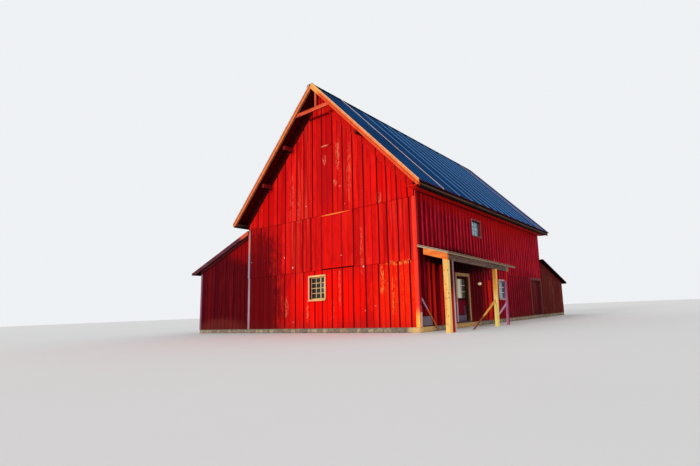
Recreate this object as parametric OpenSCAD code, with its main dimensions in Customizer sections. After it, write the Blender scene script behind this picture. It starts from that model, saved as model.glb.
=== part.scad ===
// Board-sided timber barn with a steep gable roof, a lean-to along its left
// side, a low lean-to behind and an open porch over the side entrance.
// All sizes are millimetres at full scale. +Z is up, the front gable faces -Y
// and the side entrance faces +X. The origin is on the underside of the
// foundation, at the middle of the main block.

/* [Main block] */
// Width across the gable walls
barn_w = 10360; // [9000:10:12500]
// Length along the ridge, gable wall to gable wall
barn_l = 15070; // [13500:10:18000]
// Thickness of the boarded timber walls
wall_t = 180; // [140:5:240]
// Height of the stone foundation above the lowest ground
foundation_h = 200; // [120:10:350]
// Height of the side walls, up to the underside of the roof boards
wall_h = 6060; // [5500:5:6600]
// Depth of one lap, by which each course of siding stands over the one below
course_lap = 22; // [10:1:40]
// Height where the middle course of siding begins
course_1_z = 2750; // [2600:10:2900]
// Height where the top course of siding begins
course_2_z = 5230; // [5150:10:5600]
// Top of the loft floor
loft_floor_z = 3000; // [2900:10:3100]
// Thickness of the loft floor
loft_floor_t = 180; // [100:5:250]

/* [Roof] */
// Slope of the main roof in degrees
roof_pitch = 45.6; // [40:0.1:50]
// Thickness of the roof boards and battens, square to the slope
roof_t = 135; // [100:5:200]
// Thickness of the metal sheets lying on the roof boards
sheet_t = 15; // [8:1:25]
// Overhang of the roof in front of the gable wall
front_overhang = 550; // [400:10:700]
// Overhang of the roof behind the rear gable wall
rear_overhang = 400; // [300:10:750]
// Overhang of the roof beyond the side walls
eave_overhang = 545; // [400:5:700]
// How far the metal sheets drip past the fascia
drip = 65; // [10:5:80]
// How far the front barge boards stand up past the metal sheets, square to the slope
barge_rise = 10; // [5:5:60]
// Depth of their level tips below the sharp peak of their upper edges
barge_tip_d = 150; // [100:10:200]
// Depth of the front right barge board, square to the slope
right_barge_d = 235; // [150:5:280]
// Depth of the front left barge board, square to the slope
left_barge_d = 385; // [250:5:420]
// Depth of the strip along the upper edge of both front barge boards
barge_strip_d = 110; // [60:5:150]
// Depth of the rear barge boards, square to the slope
rear_barge_d = 210; // [150:5:280]
// Thickness of the barge boards and fascia boards
barge_t = 40; // [25:5:60]
// Thickness of the level soffit boards under the eaves
soffit_t = 25; // [18:1:40]
// How far the fascia boards reach below the soffit
fascia_drop = 50; // [20:5:80]
// Depth of the end rafters on the gable walls, square to the slope
end_rafter_d = 450; // [300:5:500]
// Thickness of the end rafters
end_rafter_t = 50; // [30:5:80]
// How far the flattened ridge lies below the sharp peak of the sheets
ridge_cut = 200; // [60:5:205]
// Plan distance from the ridge line to the edge of each wing of the ridge cap
ridge_wing = 330; // [240:5:420]
// The same distance where a short cap covers the tips of the front barge boards
tip_wing = 220; // [180:5:300]

/* [Peak brace and lookouts] */
// Distance of the collar's underside below the peak of the roof boards
collar_drop = 1300; // [1150:10:1500]
// Depth of the collar
collar_d = 170; // [120:5:220]
// Width of the short king post
king_post_w = 100; // [80:5:160]
// Distance of the king post from the ridge line, towards the right
king_post_x = 335; // [0:5:400]
// Thickness of the collar and king post
brace_t = 60; // [40:5:90]
// Width of a lookout, the purlin end under the front overhang
lookout_w = 150; // [100:5:200]
// Depth of a lookout
lookout_d = 200; // [140:5:240]
// Plan distance of the upper left lookout from the ridge line
lookout_upper_x = 1850; // [1500:10:2100]
// Plan distance of the lower left lookout from the ridge line
lookout_lower_x = 3400; // [3000:10:3800]
// Plan distance of the right lookout from the ridge line
lookout_right_x = 2680; // [2000:10:2900]

/* [Gable openings] */
// Width of the window opening in the front gable wall
gable_window_w = 1000; // [700:10:1100]
// Height of the window opening in the front gable wall
gable_window_h = 1050; // [700:10:1200]
// Distance of that window's middle from the main block's left face
gable_window_x = 4960; // [4000:10:6000]
// Sill height of that window
gable_window_z = 1450; // [1300:10:1600]
// Width of the closed loft door
loft_door_w = 1880; // [1500:10:2200]
// Distance of the loft door's middle from the left face
loft_door_x = 6235; // [5800:5:6600]
// Width of the narrow upper loft door
upper_door_w = 640; // [500:10:800]
// Distance of the upper loft door's middle from the left face
upper_door_x = 5695; // [5300:5:6000]
// Height of the upper loft door's head
upper_door_top_z = 8430; // [8000:10:8800]

/* [Side windows] */
// Distance of the high window's middle from the front gable wall
high_window_y = 5380; // [5000:10:7000]
// Width of the high window's opening
high_window_w = 950; // [700:10:1100]
// Height of the high window's opening
high_window_h = 780; // [500:10:900]
// Sill height of the high window
high_window_z = 4260; // [4100:10:4500]
// Width of the high window's casing
high_casing_w = 45; // [30:5:100]
// Distance of the porch window's middle from the front gable wall
porch_window_y = 8230; // [7600:10:9000]
// Width of the porch window's opening
porch_window_w = 1000; // [700:10:1100]
// Height of the porch window's opening
porch_window_h = 980; // [700:10:1100]
// Sill height of the porch window
porch_window_z = 1220; // [1100:10:1400]
// Width of the casings of the other windows
window_casing_w = 50; // [40:5:130]
// How far casings stand out from the siding
casing_t = 30; // [20:1:45]
// Depth of a sash, and its place behind the wall face
sash_t = 40; // [30:1:50]
// Distance of a sash behind the wall face
sash_setback = 90; // [60:5:110]
// Width of the sash rails
sash_rail_w = 40; // [30:1:70]
// Thickness of the glass
glass_t = 6; // [4:0.5:10]

/* [Entrance door] */
// Distance of the door leaf's middle from the front gable wall
door_y = 3610; // [3300:10:4200]
// Width of the door leaf
door_w = 1120; // [900:5:1200]
// Height of the door leaf
door_h = 1990; // [1900:5:2100]
// Thickness of the door leaf
door_t = 45; // [38:1:60]
// Height of the threshold above the foundation
threshold_h = 60; // [30:5:90]
// Running gap round a door leaf
door_gap = 8; // [7.5:0.5:12]
// Width of the door casings
door_casing_w = 115; // [90:5:150]
// Thickness of the door jambs
jamb_t = 30; // [20:1:40]
// Width of the stiles of the door leaf
door_stile_w = 65; // [60:5:130]
// Width of its top rail and of the rail under its glazed part
door_rail_w = 125; // [90:5:160]
// Height of the door's glazed part
door_light_h = 850; // [700:10:950]
// Height of its kick plate
door_kick_h = 250; // [180:10:320]
// Height of the knob above the foot of the leaf
knob_z = 950; // [850:10:1050]
// Distance of the knob from the leaf's free edge
knob_edge = 60; // [50:5:90]

/* [Barn door] */
// Distance of the barn door leaf's middle from the rear gable wall
barn_door_rear = 1200; // [1180:10:2400]
// Width of the barn door leaf
barn_door_w = 1880; // [1600:10:1960]
// Height of the barn door leaf
barn_door_h = 2180; // [2000:10:2300]
// Thickness of the barn door leaf
barn_door_t = 50; // [40:1:70]
// Width of the barn door's trim boards
barn_trim_w = 150; // [100:5:180]

/* [Porch] */
// Length of the porch roof along the side wall
porch_l = 6740; // [6300:10:7200]
// How far the porch roof's near end stands in front of the gable wall
porch_near = 40; // [0:5:80]
// How far the porch roof stands out from the side wall
porch_d = 1350; // [1100:10:1700]
// Height of the porch roof's top face at the wall
porch_wall_z = 3295; // [3150:5:3400]
// Height of the porch roof's top face at its front edge
porch_front_z = 2890; // [2750:5:2950]
// Fall of the sagging porch roof towards the rear, in degrees
porch_fall = 1.4; // [0:0.1:2]
// Thickness of the porch roof
porch_roof_t = 60; // [40:1:80]
// How far the roof stands out past the beam
porch_lip = 40; // [20:5:80]
// Depth of the beam along the porch front
porch_beam_d = 240; // [160:5:260]
// Thickness of the beam and of the end rafter
porch_beam_t = 110; // [80:5:140]
// Distance of the beam's far end from the front gable wall
porch_beam_end = 5900; // [5600:10:6200]
// Distance of the end rafter's upper end from the side wall
porch_rafter_x = 300; // [200:10:500]
// How far the posts stand out past the beam
post_out = 50; // [0:5:60]
// Width of the near rough timber post
post_w = 180; // [150:5:220]
// Width of the far rough timber post
far_post_w = 150; // [120:5:200]
// Distances of the rough posts' near faces from the front gable wall
near_post_y = -150; // [-155:5:-100]
far_post_y = 4120; // [3800:10:4300]
// Width of the painted posts
painted_post_w = 105; // [80:5:130]
// Distances of the painted posts' near faces from the front gable wall
near_painted_y = 220; // [150:5:400]
far_painted_y = 5350; // [5000:10:5600]
// How far the two far posts lean towards the rear at their tops
far_post_lean = 110; // [0:5:150]
// Thickness of the loose boards under the porch
loose_board_t = 40; // [30:5:60]
// Plumb width of the loose boards where they lean on the posts
loose_board_w = 110; // [80:5:140]
// Distance of the long loose board's foot from the far rough post
long_board_run = 2300; // [1500:10:2400]
// Height where the long loose board meets the far rough post
long_board_top = 1180; // [900:10:1400]
// Heights of the board between the far posts, at the rough and the painted post
short_board_low = 400; // [300:10:600]
short_board_top = 1030; // [900:10:1300]
// Distance of the stick's foot from the front gable wall
stick_foot_y = 1300; // [1000:10:1600]
// Height of the stick's top end, which leans on the back of the corner board
stick_top = 1290; // [1200:10:1700]
// Distance of the skirting panel's near edge from the front gable wall
skirting_y = 190; // [150:10:400]
// Length of the skirting panel
skirting_l = 690; // [500:10:900]
// Height of the skirting panel
skirting_h = 350; // [200:10:450]
// Height of the skirting panel's lower edge
skirting_z = 240; // [200:10:300]
// Distance of the lamp from the front gable wall
lamp_y = 5240; // [5000:10:5600]
// Height of the lamp
lamp_z = 1950; // [1700:10:2100]
// Radius of the lamp's globe
lamp_r = 70; // [50:5:90]

/* [Left lean-to] */
// Width of the left lean-to
lean_w = 4370; // [3800:10:5000]
// Height of its outer wall, up to the underside of the roof
lean_wall_h = 3590; // [3200:10:3700]
// Distance of its roof's underside below the top of the main side wall
lean_drop = 940; // [900:5:1200]
// Thickness of the lean-to roofs, measured plumb
lean_roof_t = 110; // [80:5:160]
// Overhang of its roof beyond its outer wall
lean_eave = 840; // [500:10:900]
// Overhang of its roof at the front and at the rear
lean_front = 80; // [60:5:200]
// Depth of its barge boards below the roof
lean_barge_d = 110; // [60:5:200]
// Plumb depth of the rafters on the face of its end walls
lean_rafter_d = 300; // [200:10:350]

/* [Rear lean-to] */
// Length of the rear lean-to behind the rear gable wall
rear_l = 5000; // [4400:10:5600]
// Height of its outer wall, up to the underside of the roof
rear_wall_h = 2460; // [2250:10:2700]
// Height of its roof's underside at the rear gable wall
rear_high_z = 3720; // [3500:10:3900]
// Overhang of its roof beyond its outer wall
rear_eave = 460; // [350:10:700]
// Overhang of its roof beyond its side walls
rear_side = 260; // [150:10:400]

/* [Corner boards] */
// Width of the corner boards
corner_board_w = 140; // [100:5:180]
// Thickness of the corner boards
corner_board_t = 30; // [20:1:45]

/* [Hidden] */

half_w = barn_w / 2;
half_l = barn_l / 2;
slope = tan(roof_pitch);
roof_plumb = roof_t / cos(roof_pitch);
sheet_plumb = sheet_t / cos(roof_pitch);
apex_z = wall_h + half_w * slope;
ridge_top = apex_z + roof_plumb + sheet_plumb - ridge_cut;
barge_line = roof_plumb + sheet_plumb + barge_rise / cos(roof_pitch);
barge_tip_z = apex_z + barge_line - barge_tip_d;
eave_x = half_w + eave_overhang;
fascia_x = eave_x + barge_t;
soffit_z = apex_z - eave_x * slope;
inner_x = half_w - wall_t;
inner_y = half_l - wall_t;
wall_base = foundation_h;
// Clearance with which a piece seats under a sloping one.
seat = 0.3;

door_sill_z = foundation_h + threshold_h;
door_open_w = door_w + 2 * (door_gap + jamb_t);
door_head_z = door_sill_z + door_h + 2 * door_gap + jamb_t;
door_light_z = door_h - door_rail_w - door_light_h;
barn_open_w = barn_door_w + 2 * (door_gap + jamb_t);
barn_door_y = barn_l - barn_door_rear;
barn_sill_z = foundation_h;
barn_head_z = barn_sill_z + barn_door_h + 2 * door_gap + jamb_t;

lean_x = half_w + lean_w;
lean_high_z = wall_h - lean_drop;
lean_slope = (lean_high_z - lean_wall_h) / lean_w;
rear_y = half_l + rear_l;
rear_slope = (rear_high_z - rear_wall_h) / rear_l;

siding_red = "#c8201a";
shade_red = "#9a1226";
weathered = "#a86a3c";
metal_blue = "#33506c";
raw_wood = "#d9a55c";
stone_grey = "#a59c8c";
pale_trim = "#c9b48c";

// Places children at a plan position on the barn: u from the left face of the
// main block towards the right, v from its front face towards the rear.
module at_plan(u, v, z = 0) translate([u - half_w, v - half_l, z]) children();

// Extrudes an outline drawn in X and Z along Y, from y0 to y1.
module along_y(y0, y1) translate([0, y1, 0]) rotate([90, 0, 0]) linear_extrude(y1 - y0) children();

// Extrudes an outline drawn in Y and Z along X, from x0 to x1.
module along_x(x0, x1)
    translate([x0, 0, 0]) rotate([90, 0, 90]) linear_extrude(x1 - x0) children();

// A box from its low corner to its high corner.
module block(low, high) translate(low) cube(high - low);

// Height of the roof boards' underside at distance x from the ridge line.
function under_roof(x) = apex_z - abs(x) * slope;

// Outline of one roof slope's layer in X and Z, between two plumb offsets above
// the underside, out to x_end where it has a plumb face. Its peak is cut level, at
// the flattened ridge unless another height is given.
module slope_band(low, high, x_end, cut_z = ridge_top)
    intersection() {
        polygon([[0, apex_z + low], [x_end, under_roof(x_end) + low],
            [x_end, under_roof(x_end) + high], [0, apex_z + high]]);
        square([x_end, cut_z]);
    }

// Outline of a gable wall below the roof, between two heights.
module gable_outline(z0, z1)
    intersection() {
        polygon([[-half_w, 0], [half_w, 0], [half_w, wall_h - seat], [0, apex_z - seat],
            [-half_w, wall_h - seat]]);
        translate([-half_w, z0]) square([barn_w, z1 - z0]);
    }

// One gable wall with its face at y = 0 and its body towards +Y. Each higher
// course of siding stands one lap in front of the course below it.
module gable_wall(course_z) {
    along_y(0, wall_t) gable_outline(wall_base, apex_z);
    for (i = [0 : len(course_z) - 1])
        along_y(-(i + 1) * course_lap, -i * course_lap) gable_outline(course_z[i], apex_z);
}

// Hole through a wall whose face is at local y = 0, centred on x = 0.
module wall_hole(w, h, z) block([-w / 2, -5 * course_lap, z], [w / 2, wall_t + 5 * course_lap, z + h]);

// A stretch of the right side wall between two distances from the front, with
// its top cut to the slope of the roof.
module side_wall(v0, v1, z0)
    along_y(v0 - half_l, v1 - half_l)
        polygon([[inner_x, z0], [half_w, z0], [half_w, wall_h - seat],
            [inner_x, under_roof(inner_x) - seat]]);

// Window casing and sash for a hole of width w and height h, with the wall face
// at local y = 0 and the outside towards -Y. The glass pane fits its rebate.
module window_frame(w, h, casing_w = window_casing_w) {
    out_w = w + 2 * casing_w;
    difference() {
        block([-out_w / 2, -casing_t, -casing_w], [out_w / 2, 0, h + casing_w]);
        block([-w / 2 + jamb_t, -casing_t - 1, jamb_t], [w / 2 - jamb_t, 1, h - jamb_t]);
    }
    difference() {
        block([-w / 2, 0, 0], [w / 2, wall_t, h]);
        block([-w / 2 + jamb_t, -1, jamb_t], [w / 2 - jamb_t, wall_t + 1, h - jamb_t]);
    }
    difference() {
        block([-w / 2 + jamb_t, sash_setback, jamb_t],
            [w / 2 - jamb_t, sash_setback + sash_t, h - jamb_t]);
        block([-w / 2 + jamb_t + sash_rail_w, sash_setback - 1, jamb_t + sash_rail_w],
            [w / 2 - jamb_t - sash_rail_w, sash_setback + sash_t + 1, h - jamb_t - sash_rail_w]);
    }
    block([-out_w / 2, -2 * casing_t, -casing_w], [out_w / 2, -casing_t, 0]);
}

// The pane of such a window, edge to edge with the sash rails.
module window_pane(w, h)
    block([-w / 2 + jamb_t + sash_rail_w, sash_setback + (sash_t - glass_t) / 2, jamb_t + sash_rail_w],
        [w / 2 - jamb_t - sash_rail_w, sash_setback + (sash_t + glass_t) / 2,
            h - jamb_t - sash_rail_w]);

// Puts a window on the front gable wall or on the right side wall.
module on_front(u, z) at_plan(u, 0, z) children();
module on_right(v, z) translate([half_w, v - half_l, z]) rotate([0, 0, 90]) children();

module foundation()
    color(stone_grey) block([-half_w, -half_l, 0], [half_w, half_l, foundation_h]);

module front_wall()
    color(siding_red) difference() {
        translate([0, -half_l, 0]) gable_wall([course_1_z, course_2_z]);
        on_front(gable_window_x, 0) wall_hole(gable_window_w, gable_window_h, gable_window_z);
    }

module rear_wall()
    color(siding_red) translate([0, half_l, 0]) rotate([0, 0, 180]) gable_wall([course_2_z]);

module left_wall()
    color(shade_red) mirror([1, 0, 0]) side_wall(wall_t, barn_l - wall_t, wall_base);

module right_wall_front()
    color(shade_red) side_wall(wall_t, door_y - door_open_w / 2, wall_base);

module right_wall_middle()
    color(shade_red) difference() {
        side_wall(door_y + door_open_w / 2, barn_door_y - barn_open_w / 2, wall_base);
        on_right(high_window_y, 0) wall_hole(high_window_w, high_window_h, high_window_z);
        on_right(porch_window_y, 0) wall_hole(porch_window_w, porch_window_h, porch_window_z);
    }

module right_wall_rear()
    color(shade_red) side_wall(barn_door_y + barn_open_w / 2, barn_l - wall_t, wall_base);

// The wall over the two doorways of the right side.
module right_wall_over_doors()
    color(shade_red) {
        side_wall(door_y - door_open_w / 2, door_y + door_open_w / 2, door_head_z);
        side_wall(barn_door_y - barn_open_w / 2, barn_door_y + barn_open_w / 2, barn_head_z);
    }

module loft_floor()
    color(raw_wood) block([-inner_x, -inner_y, loft_floor_z - loft_floor_t],
        [inner_x, inner_y, loft_floor_z]);

// One slope of the main roof: boards, with a thin metal sheet over them that
// drips past their lower edge. The sheet ends against the front barge board and
// runs over the rear one.
module roof_slope() {
    along_y(-half_l - front_overhang, half_l + rear_overhang)
        slope_band(0, roof_plumb, eave_x);
    along_y(-half_l - front_overhang, half_l + rear_overhang + barge_t)
        slope_band(roof_plumb, roof_plumb + sheet_plumb, fascia_x + drip);
}
module roof_right() color(metal_blue) roof_slope();
module roof_left() color(metal_blue) mirror([1, 0, 0]) roof_slope();

// Outline of a folded metal cap in X and Z: a level middle of half-width flat_x
// whose underside lies at z, and two wings at the slope of the roof.
module cap_outline(z, flat_x, wing) {
    low_z = z - (wing - flat_x) * slope;
    polygon([[-flat_x, z], [flat_x, z], [wing, low_z], [wing, low_z + sheet_plumb],
        [flat_x, z + sheet_plumb], [-flat_x, z + sheet_plumb], [-wing, low_z + sheet_plumb],
        [-wing, low_z]]);
}

// Cap over the flattened ridge, and a short one over the tips of the front barge
// boards.
module ridge_cap()
    color("#2a3d50") {
        along_y(-half_l - front_overhang, half_l + rear_overhang + barge_t)
            cap_outline(ridge_top + seat, ridge_cut / slope, ridge_wing);
        along_y(front_barge_y[0], front_barge_y[1])
            cap_outline(barge_tip_z + seat, barge_tip_d / slope, tip_wing);
    }

// A barge board on the +X slope, between two y values. It reaches from one depth
// down to another, square to the slope, below a line that lies plumb above the
// underside of the roof boards. Its tip is cut level at cut_z and its foot at the
// soffit.
module barge_board(y0, y1, line, d0, d1, cut_z = ridge_top)
    color(weathered) along_y(y0, y1) intersection() {
        slope_band(line - d1 / cos(roof_pitch), line - d0 / cos(roof_pitch) - seat, fascia_x, cut_z);
        translate([0, soffit_z - soffit_t]) square([fascia_x, apex_z]);
    }
front_barge_y = [-half_l - front_overhang - barge_t, -half_l - front_overhang];
// A front board is built of two: a strip along its upper edge and a wide board
// below it. On the right the strip stands out, on the left the wide board does.
module front_barge(strip_t, board_t, depth) {
    barge_board(front_barge_y[1] - strip_t, front_barge_y[1], barge_line, 0, barge_strip_d, barge_tip_z);
    barge_board(front_barge_y[1] - board_t, front_barge_y[1], barge_line, barge_strip_d, depth,
        barge_tip_z);
}
module front_barge_right() front_barge(barge_t, barge_t / 2, right_barge_d);
module front_barge_left() mirror([1, 0, 0]) front_barge(barge_t / 2, barge_t, left_barge_d);
module rear_barges()
    for (side = [0, 1]) mirror([side, 0, 0])
        barge_board(half_l + rear_overhang, half_l + rear_overhang + barge_t, roof_plumb, 0, rear_barge_d);

// Level soffit of one eave between the barge boards, and the fascia board that
// closes its outer edge and hangs a little below it.
module eave_fascia() {
    low_z = soffit_z - soffit_t;
    along_y(-half_l - front_overhang, half_l + rear_overhang)
        polygon([[half_w, low_z], [eave_x, low_z], [eave_x, low_z - fascia_drop],
            [fascia_x, low_z - fascia_drop], [fascia_x, under_roof(fascia_x) + roof_plumb - seat],
            [eave_x, soffit_z + roof_plumb - seat], [eave_x, soffit_z - seat], [half_w, soffit_z - seat]]);
}
module eave_fascias() color(weathered) for (side = [0, 1]) mirror([side, 0, 0]) eave_fascia();

// A pair of end rafters on the face of a gable wall, from the peak to the corners,
// and the single one on each end wall of the left lean-to. A piece notched round
// them is cut with a depth that is larger by the seat.
module end_rafter_pair(y0, y1, extra = 0)
    along_y(y0, y1) for (side = [0, 1]) mirror([side, 0])
        slope_band(-end_rafter_d / cos(roof_pitch) - extra, -seat, half_w);
front_face_y = -half_l - 2 * course_lap;
rear_face_y = half_l + course_lap;
module end_rafters()
    color("#4a1a16") {
        end_rafter_pair(front_face_y - end_rafter_t, front_face_y);
        end_rafter_pair(rear_face_y, rear_face_y + end_rafter_t);
        for (side = [0, 1]) mirror([0, side, 0])
            along_y(-half_l - end_rafter_t, -half_l)
                polygon([[-lean_x, lean_wall_h - lean_rafter_d], [-half_w, lean_high_z - lean_rafter_d],
                    [-half_w, lean_high_z - seat], [-lean_x, lean_wall_h - seat]]);
    }

// Purlin ends that stand out from the front gable wall under the overhang,
// notched round the end rafters.
module lookout(x, top_z)
    block([x - lookout_w / 2, -half_l - front_overhang, top_z - lookout_d],
        [x + lookout_w / 2, front_face_y, top_z]);
module lookouts()
    color("#7a2a1c") difference() {
        union() {
            for (x = [lookout_upper_x, lookout_lower_x])
                lookout(-x, under_roof(x - lookout_w / 2) - end_rafter_d / cos(roof_pitch));
            lookout(lookout_right_x, under_roof(lookout_right_x + lookout_w / 2) - seat);
        }
        end_rafter_pair(front_face_y - end_rafter_t, front_face_y, seat);
    }

// Collar and short king post between the front barge boards, in their plane.
module peak_brace() {
    function barge_low(depth, x) = under_roof(x) + barge_line - depth / cos(roof_pitch) - seat;
    color(weathered) along_y(front_barge_y[0], front_barge_y[0] + brace_t)
        intersection() {
            union() {
                translate([-half_w, apex_z - collar_drop]) square([barn_w, collar_d]);
                translate([king_post_x - king_post_w / 2, apex_z - collar_drop])
                    square([king_post_w, collar_drop]);
            }
            polygon([[-half_w, barge_low(left_barge_d, half_w)], [0, barge_low(left_barge_d, 0)],
                [0, barge_low(right_barge_d, 0)], [half_w, barge_low(right_barge_d, half_w)]]);
        }
}

// Closed doors of the loft: a wide one on the middle course of the front gable,
// with its head board, and a narrow one above it under a small drip board.
module loft_doors()
    color(siding_red) {
        on_front(loft_door_x, 0) {
            block([-loft_door_w / 2, -2 * course_lap, course_1_z + 2 * course_lap],
                [loft_door_w / 2, -course_lap, course_2_z]);
            block([-loft_door_w / 2, -3 * course_lap, course_2_z - 4 * course_lap],
                [loft_door_w / 2, -2 * course_lap, course_2_z]);
        }
        on_front(upper_door_x, 0) {
            block([-upper_door_w / 2, -3 * course_lap, course_2_z],
                [upper_door_w / 2, -2 * course_lap, upper_door_top_z]);
            block([-upper_door_w / 2, -6 * course_lap, upper_door_top_z],
                [upper_door_w / 2, -2 * course_lap, upper_door_top_z + 2 * course_lap]);
        }
    }

// Corner boards: both faces of the front right corner, and the front faces of
// the main block's left corner and of the lean-to's outer corner.
module corner_boards()
    color(pale_trim) {
        block([half_w, -half_l - corner_board_t, wall_base],
            [half_w + corner_board_t, -half_l + corner_board_w, soffit_z - soffit_t]);
        for (x = [-half_w, half_w - corner_board_w]) {
            block([x, -half_l - corner_board_t, wall_base], [x + corner_board_w, -half_l, course_1_z]);
            block([x, -half_l - corner_board_t - course_lap, course_1_z],
                [x + corner_board_w, -half_l - course_lap, course_2_z]);
        }
        block([-lean_x, -half_l - corner_board_t, wall_base],
            [-lean_x + corner_board_w, -half_l, lean_wall_h - lean_rafter_d]);
    }

module window_frames()
    color(pale_trim) {
        on_front(gable_window_x, gable_window_z) window_frame(gable_window_w, gable_window_h);
        on_right(high_window_y, high_window_z)
            window_frame(high_window_w, high_window_h, high_casing_w);
        on_right(porch_window_y, porch_window_z) window_frame(porch_window_w, porch_window_h);
    }
module window_glass()
    color("#8fb3c4") {
        on_front(gable_window_x, gable_window_z) window_pane(gable_window_w, gable_window_h);
        on_right(high_window_y, high_window_z) window_pane(high_window_w, high_window_h);
        on_right(porch_window_y, porch_window_z) window_pane(porch_window_w, porch_window_h);
    }

// Jambs, head, stops and casings round a doorway of clear width w, with the wall
// face at local y = 0. The leaf of thickness t closes flush with the inner face.
module door_frame(w, z0, z1, t, casing_w) {
    stop_y = wall_t - t - door_gap;
    stop_w = 20;
    for (side = [0, 1]) mirror([side, 0, 0]) {
        block([w / 2 - jamb_t, 0, z0], [w / 2, wall_t, z1]);
        block([w / 2 - jamb_t - stop_w, 0, z0], [w / 2 - jamb_t, stop_y, z1 - jamb_t]);
        block([w / 2 - jamb_t, -casing_t, z0], [w / 2 - jamb_t + casing_w, 0, z1 - jamb_t]);
    }
    block([-w / 2 + jamb_t, 0, z1 - jamb_t], [w / 2 - jamb_t, wall_t, z1]);
    block([-w / 2 + jamb_t, 0, z1 - jamb_t - stop_w], [w / 2 - jamb_t, stop_y, z1 - jamb_t]);
    block([-w / 2 + jamb_t - casing_w, -casing_t, z1 - jamb_t],
        [w / 2 - jamb_t + casing_w, 0, z1 - jamb_t + casing_w]);
}

// Vertical hinge pins carried by plates on the inner face of the far jamb.
hinge_r = 8;
eye_r = 16;
hinge_fit = 0.3;
plate_t = 6;
strap_l = 300;
strap_end = 40;
function hinge_heights(z0, h) = [z0 + 0.15 * h, z0 + 0.8 * h];
module hinge_pins(w, z0, h)
    for (z = hinge_heights(z0, h)) {
        translate([w / 2 - jamb_t + eye_r + 2, wall_t + plate_t + eye_r + 2, z - 30])
            cylinder(r = hinge_r, h = 90, $fn = 48);
        block([w / 2 - jamb_t + 4, wall_t, z - 50], [w / 2 + 30, wall_t + plate_t, z - 30]);
        block([w / 2 - jamb_t + 4, wall_t + plate_t, z - 50],
            [w / 2 - jamb_t + 2 * eye_r, wall_t + plate_t + 2 * eye_r + 4, z - 30]);
    }
// Straps with an eye that turns on each pin, fixed to the leaf's inner face.
module hinge_straps(w, z0, h, t)
    for (z = hinge_heights(z0, h)) {
        pin_x = w / 2 - jamb_t + eye_r + 2;
        pin_y = wall_t + plate_t + eye_r + 2;
        difference() {
            union() {
                translate([pin_x, pin_y, z - 30 + hinge_fit]) cylinder(r = eye_r, h = 50, $fn = 48);
                block([w / 2 - jamb_t - door_gap - strap_l, pin_y - 4, z - 30 + hinge_fit],
                    [pin_x, pin_y + 4, z + 20 + hinge_fit]);
                block([w / 2 - jamb_t - door_gap - strap_l, wall_t, z - 30 + hinge_fit],
                    [w / 2 - jamb_t - door_gap - strap_end, pin_y + 4, z + 20 + hinge_fit]);
            }
            translate([pin_x, pin_y, z - 60]) cylinder(r = hinge_r + hinge_fit, h = 150, $fn = 48);
        }
    }

// Frame of the entrance, with a threshold on the foundation and its hinge pins.
module entrance_frame()
    color(pale_trim) on_right(door_y, 0) {
        door_frame(door_open_w, wall_base, door_head_z, door_t, door_casing_w);
        block([-door_open_w / 2 + jamb_t, -casing_t, wall_base],
            [door_open_w / 2 - jamb_t, wall_t, door_sill_z]);
        hinge_pins(door_open_w, door_sill_z, door_h);
    }

// Entrance leaf: stiles and rails round a glazed light, with a lower panel and
// a kick plate. It is drawn in the closed place, flush with the inner face.
module entrance_door()
    color(shade_red) on_right(door_y, door_sill_z + door_gap) {
        y0 = wall_t - door_t;
        light_x = door_w / 2 - door_stile_w;
        difference() {
            block([-door_w / 2, y0, 0], [door_w / 2, wall_t, door_h]);
            block([-light_x, y0 - 1, door_light_z], [light_x, wall_t + 1, door_light_z + door_light_h]);
            block([-light_x, y0 - 1, door_kick_h + door_stile_w],
                [light_x, y0 + door_t / 4, door_light_z - door_rail_w]);
        }
        block([-light_x, y0 - 3, door_gap], [light_x, y0, door_kick_h]);
        translate([-door_w / 2 + knob_edge, y0, knob_z]) rotate([90, 0, 0]) {
            cylinder(r = 12, h = 45, $fn = 32);
            translate([0, 0, 40]) cylinder(r = 28, h = 25, $fn = 48);
        }
        translate([0, 0, -door_sill_z - door_gap])
            hinge_straps(door_open_w, door_sill_z, door_h, door_t);
    }
module entrance_door_glass()
    color("#8fb3c4") on_right(door_y, door_sill_z + door_gap)
        block([-door_w / 2 + door_stile_w, wall_t - (door_t + glass_t) / 2, door_light_z],
            [door_w / 2 - door_stile_w, wall_t - (door_t - glass_t) / 2, door_light_z + door_light_h]);

module barn_door_frame()
    color(shade_red) on_right(barn_door_y, 0) {
        door_frame(barn_open_w, barn_sill_z, barn_head_z, barn_door_t, barn_trim_w);
        hinge_pins(barn_open_w, barn_sill_z, barn_door_h);
    }

// Barn door leaf: one boarded panel with three ledges across its inner face.
module barn_door()
    color("#6e0f1c") on_right(barn_door_y, barn_sill_z + door_gap) {
        block([-barn_door_w / 2, wall_t - barn_door_t, 0], [barn_door_w / 2, wall_t, barn_door_h]);
        translate([0, 0, -barn_sill_z - door_gap])
            hinge_straps(barn_open_w, barn_sill_z, barn_door_h, barn_door_t);
    }

// Height of the porch roof's underside at distance x from the wall.
function porch_under(x) = porch_wall_z - porch_roof_t - x * (porch_wall_z - porch_front_z) / porch_d;

// Tilts the porch by its fall towards the rear. Children are drawn with x
// measured from the side wall and y from the front gable wall.
module on_porch()
    translate([half_w, -half_l, porch_front_z]) rotate([-porch_fall, 0, 0])
        translate([0, 0, -porch_front_z]) children();

beam_x = porch_d - porch_lip;
post_x = beam_x + post_out;
rafter_y = porch_beam_t - porch_near;
function rafter_low(x) = porch_under(x) - porch_beam_d;

module porch_roof()
    color("#7f8488") difference() {
        on_porch() along_y(-porch_near, porch_l - porch_near)
            polygon([[0, porch_wall_z - porch_roof_t], [porch_d, porch_front_z - porch_roof_t],
                [porch_d, porch_front_z], [0, porch_wall_z]]);
        block([half_w - 1, -half_l - 2 * porch_near, wall_base],
            [half_w + corner_board_t, -half_l + corner_board_w, wall_h]);
    }

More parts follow.
